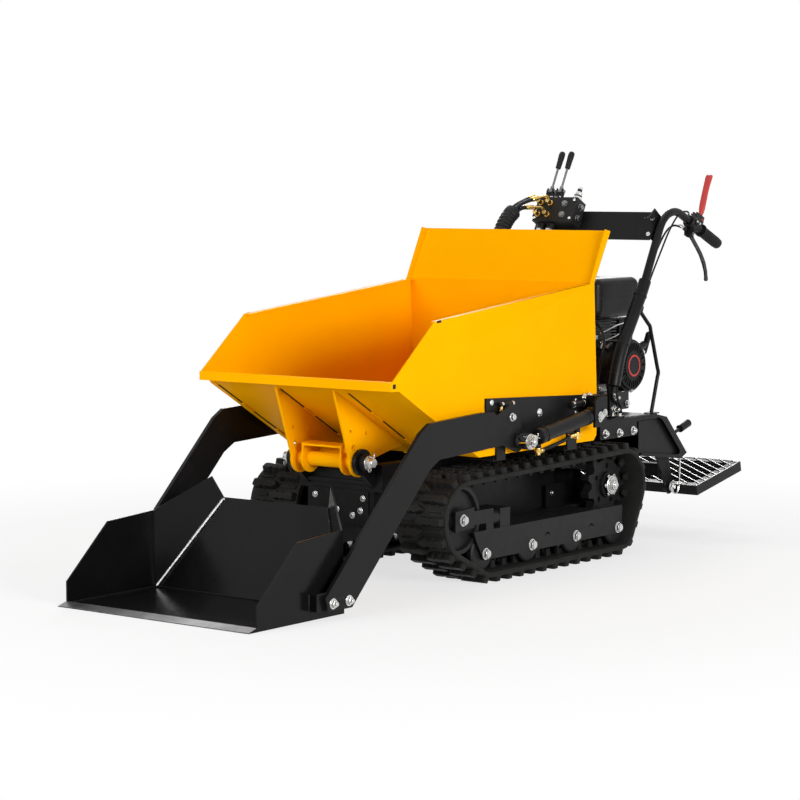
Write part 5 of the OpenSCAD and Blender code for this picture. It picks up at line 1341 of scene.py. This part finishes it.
def reach(outline, a):
    """The point where a ray from the origin leaves an outline."""
    d = on_circle(1, a)
    best = 0.0
    for p, q in zip(outline, outline[1:] + outline[:1]):
        p, e = Vector(p), Vector(q) - Vector(p)
        across = d.cross(e)
        if abs(across) < 1e-9:
            continue
        if p.cross(e) / across > 0 and -1e-6 <= p.cross(d) / across <= 1 + 1e-6:
            best = max(best, p.cross(e) / across)
    return d * best


def ring_of(piece, outer, hole, thick, place, side, rays=48):
    """A flat plate with a hole, both outlines cut into the same rays, turned over on the right side."""
    corners = [math.atan2(y, x) % math.tau for x, y in outer]
    angles = sorted([math.tau * k / rays for k in range(rays)] + corners)
    rims = ((outer, 0), (outer, thick), (hole, thick), (hole, 0))
    rings = [[(*reach(outline, a), z) for a in angles] for outline, z in rims]
    piece.loft(rings, place @ Matrix.Rotation(0 if side > 0 else math.pi, 4, "X"), closed=True)


build_valve_levers()
build_valve()

# Perches on the grips: housing, clamp screws, boot and the second cable

PERCH = [(13.2, 0), (19, 0), (22, 3), (23.5, 8), (23.5, 28), (22, 33), (19, 36), (13.2, 36)]
COLLAR = [(13.2, 38), (18.5, 38), (20, 40), (20, 50), (18.5, 52), (13.2, 52)]
LEVER_BOOT = [(9, 20), (17, 20), (18.5, 22), (15, 24.5), (18.2, 27), (14.8, 29.5), (17.6, 32), (14.4, 34.5),
              (16.8, 37), (13.4, 40), (9, 42)]
CABLE_END = [(0, -4), (4.4, -4), (4.4, 10), (3.6, 11), (3.6, 20), (0, 20)]
SECOND_CABLE_R, SECOND_CABLE_OFF = 2.9, COLUMN_R + 3.4
SECOND_CABLE_WAY = ((5, 1030, 1044), (3, 978, 996), (2, 918, 916), (0, 868, 842))
SECOND_CABLE_COLUMN = (420, 300, 180, 90)


def build_perches():
    housing, zinc, boot, cable = pieces(4)
    x = HANDLE_X
    along = at(on_clamp(x, -24, 0), CLAMP_ALONG, CLAMP_UP)
    housing.lathe(PERCH, along, 36)
    housing.lathe(COLLAR, along, 32)
    housing.plate(16, 22, 18, 27, at(on_clamp(x, -6, 0), CLAMP_UP, X), 4)
    housing.plate(18, 20, 19, 28, at(on_clamp(x, -6, 0), X, CLAMP_ALONG), 5)
    for y in (-14, 2):
        zinc.lathe(post(3.6, 27, 31, 0.8, 1), at(on_clamp(x, y, 0), CLAMP_UP), 14)
        zinc.lathe(post(3.8, 28, 32, 0.8, 1), at(on_clamp(x, y, 0), X), 14)
    for side, tall in ((1, 4), (-1, 5)):
        zinc.hex_head(at(on_clamp(x + 9.2 * side, 0, -STEER_DROP), X * side), 6.5, tall, washer=1.2)
    boot.lathe(LEVER_BOOT, at(on_clamp(x, -2, -6), -CLAMP_UP), 32)
    line = [on_clamp(x + 4, -24, 16), on_clamp(x + 5, -52, 20)]
    line += [mm(x + u, *p) for u, *p in SECOND_CABLE_WAY]
    line += [mm(x, *on_column(s, SECOND_CABLE_OFF)) for s in SECOND_CABLE_COLUMN]
    line += [mm(x - 2, 700, DECK_Z + 34), mm(x - 2, 704, DECK_Z + 1)]
    cable.tube(smooth_route(line, 10), SECOND_CABLE_R, 10)
    zinc.lathe(CABLE_END, at(line[0], line[1] - line[0]), 14)
    housing.mirrored().done("lever_perches", "black_plastic", round_mm=0.6)
    zinc.mirrored().done("perch_screws", "zinc_steel", round_mm=0.3)
    boot.mirrored().done("lever_boots", "soft_rubber")
    cable.mirrored().done("second_cables", "soft_rubber")


build_perches()

# Red clutch lever on the left grip

CLUTCH_AT, CLUTCH_SIDES, CLUTCH_ROUND = (43.0, 30.0), 20, 0.55
CLUTCH_PIN = drum(4, -10, 10, 0.6, 0.6)
CLUTCH_RINGS = [(-6, -4, 4, 3.4), (4, -7.5, 7, 3.4), (16, -8, 5, 3.6), (24, -8.6, 3.6, 7.5),
                (38, -9.4, 1.8, 10.5), (60, -10.2, -0.8, 11.2), (90, -11, -2.4, 11.0),
                (118, -11, -2.6, 11.4), (140, -9.8, -1.2, 12.4), (152, -8.8, -0.2, 12.8),
                (156.5, -7.6, -1.6, 11.6), (158, -6, -3.4, 9)]


def build_clutch_lever():
    """The red lever: a rounded blade that widens to its end, on a narrow foot with its pin."""
    lever, rings = Piece(), []
    for z, back, ahead, half in CLUTCH_RINGS:
        ring = []
        for p in circle(1, CLUTCH_SIDES):
            u, v = (math.copysign(abs(c) ** CLUTCH_ROUND, c) for c in p)
            along = (back + ahead) / 2 + v * (ahead - back) / 2
            ring.append(on_clamp(HANDLE_X + u * half, CLUTCH_AT[0] + along, CLUTCH_AT[1] + z))
        rings.append(ring)
    lever.loft(rings)
    lever.lathe(CLUTCH_PIN, at(on_clamp(HANDLE_X, *CLUTCH_AT), X), 20)
    lever.done("clutch_lever_blade", "red_lever", "clutch_lever", sharp=45, stands_for=["clutch_lever"])


build_clutch_lever()

# Stage, light and camera

CAMERA_AT = Vector((4.557, -6.1257, 1.165))
CAMERA_TO = Vector((0.0, -0.2021, 0.5082))
LENS, SENSOR = 114.18, 36.0
WHITE, WORLD_LIGHT = grey(1.0), 0.1
FLOOR_HALF, FLOOR_GREY, FLOOR_ROUGH = 40.0, 0.9, 0.9
FADE = {"From Min": 1.1, "From Max": 2.8, "To Min": 0.7, "To Max": 1.0}


def look_from(obj, place, to):
    obj.location = place
    obj.rotation_euler = (Vector(to) - Vector(place)).to_track_quat("-Z", "Y").to_euler()
    bpy.context.scene.collection.objects.link(obj)


def area_light(name, place, to, size, power):
    data = bpy.data.lights.new(name, "AREA")
    data.shape = "RECTANGLE"
    data.size, data.size_y = size
    data.energy = power
    look_from(bpy.data.objects.new(name, data), place, to)


def background_factor(tree):
    """1 for rays that should see the plain white background: the camera's, reflections and glass."""
    path = new_node(tree, "LightPath")
    direct = new_node(tree, "Math", {0: path["Is Camera Ray"], 1: path["Is Transmission Ray"]},
                      use_clamp=True)
    return new_node(tree, "Math", {0: direct["Value"], 1: path["Is Glossy Ray"]}, use_clamp=True)["Value"]


def surface_mix(tree, factor, first, second, output):
    """Sends a mix of two shaders to the tree's output."""
    mix = new_node(tree, "MixShader", {"Fac": factor, 1: first, 2: second})["Shader"]
    tree.links.new(mix, tree.nodes[output].inputs["Surface"])


def build_world():
    world = bpy.data.worlds.new("studio")
    bpy.context.scene.world = world
    world.use_nodes = True
    tree = world.node_tree
    light = feed(tree, tree.nodes["Background"], {"Color": WHITE, "Strength": WORLD_LIGHT})["Background"]
    white = new_node(tree, "Background", {"Color": WHITE, "Strength": 1.0})["Background"]
    surface_mix(tree, background_factor(tree), light, white, "World Output")


def build_floor():
    """A floor that catches shadows near the machine and turns plain white further away."""
    mesh = bpy.data.meshes.new("floor")
    corners = rectangle(-FLOOR_HALF, -FLOOR_HALF, FLOOR_HALF, FLOOR_HALF)
    mesh.from_pydata([(*p, 0) for p in corners], [], [(0, 1, 2, 3)])
    floor = bpy.data.objects.new("floor", mesh)
    bpy.context.scene.collection.objects.link(floor)
    material = bpy.data.materials.new("floor")
    material.use_nodes = True
    tree = material.node_tree
    plain = {"Base Color": grey(FLOOR_GREY), "Roughness": FLOOR_ROUGH}
    matt = feed(tree, tree.nodes["Principled BSDF"], plain)["BSDF"]
    glow = new_node(tree, "Emission", {"Color": WHITE})["Emission"]
    place = new_node(tree, "NewGeometry")["Position"]
    away = new_node(tree, "VectorMath", {0: place}, operation="LENGTH")["Value"]
    fade = new_node(tree, "MapRange", {"Value": away, **FADE}, interpolation_type="SMOOTHSTEP")["Result"]
    share = new_node(tree, "Math", {0: background_factor(tree), 1: fade}, operation="MULTIPLY")["Value"]
    surface_mix(tree, share, matt, glow, "Material Output")
    mesh.materials.append(material)


def build_camera():
    data = bpy.data.cameras.new("camera")
    data.lens = LENS
    data.sensor_width = SENSOR
    camera = bpy.data.objects.new("camera", data)
    look_from(camera, CAMERA_AT, CAMERA_TO)
    bpy.context.scene.camera = camera


build_world()
build_floor()
build_camera()
area_light("key", (5.6, -1.8, 1.75), (0.2, -0.1, 0.5), (3.2, 1.3), 285)
area_light("front", (-1.0, -6.2, 2.2), (0.0, -0.4, 0.4), (3.4, 1.8), 205)
area_light("top", (-0.6, 0.8, 5.0), (0.0, 0.0, 0.5), (3.0, 3.0), 60)
area_light("rear", (-4.0, 4.6, 3.0), (0.0, 0.4, 0.6), (3.2, 2.0), 190)
bpy.context.scene.view_settings.view_transform = "Standard"
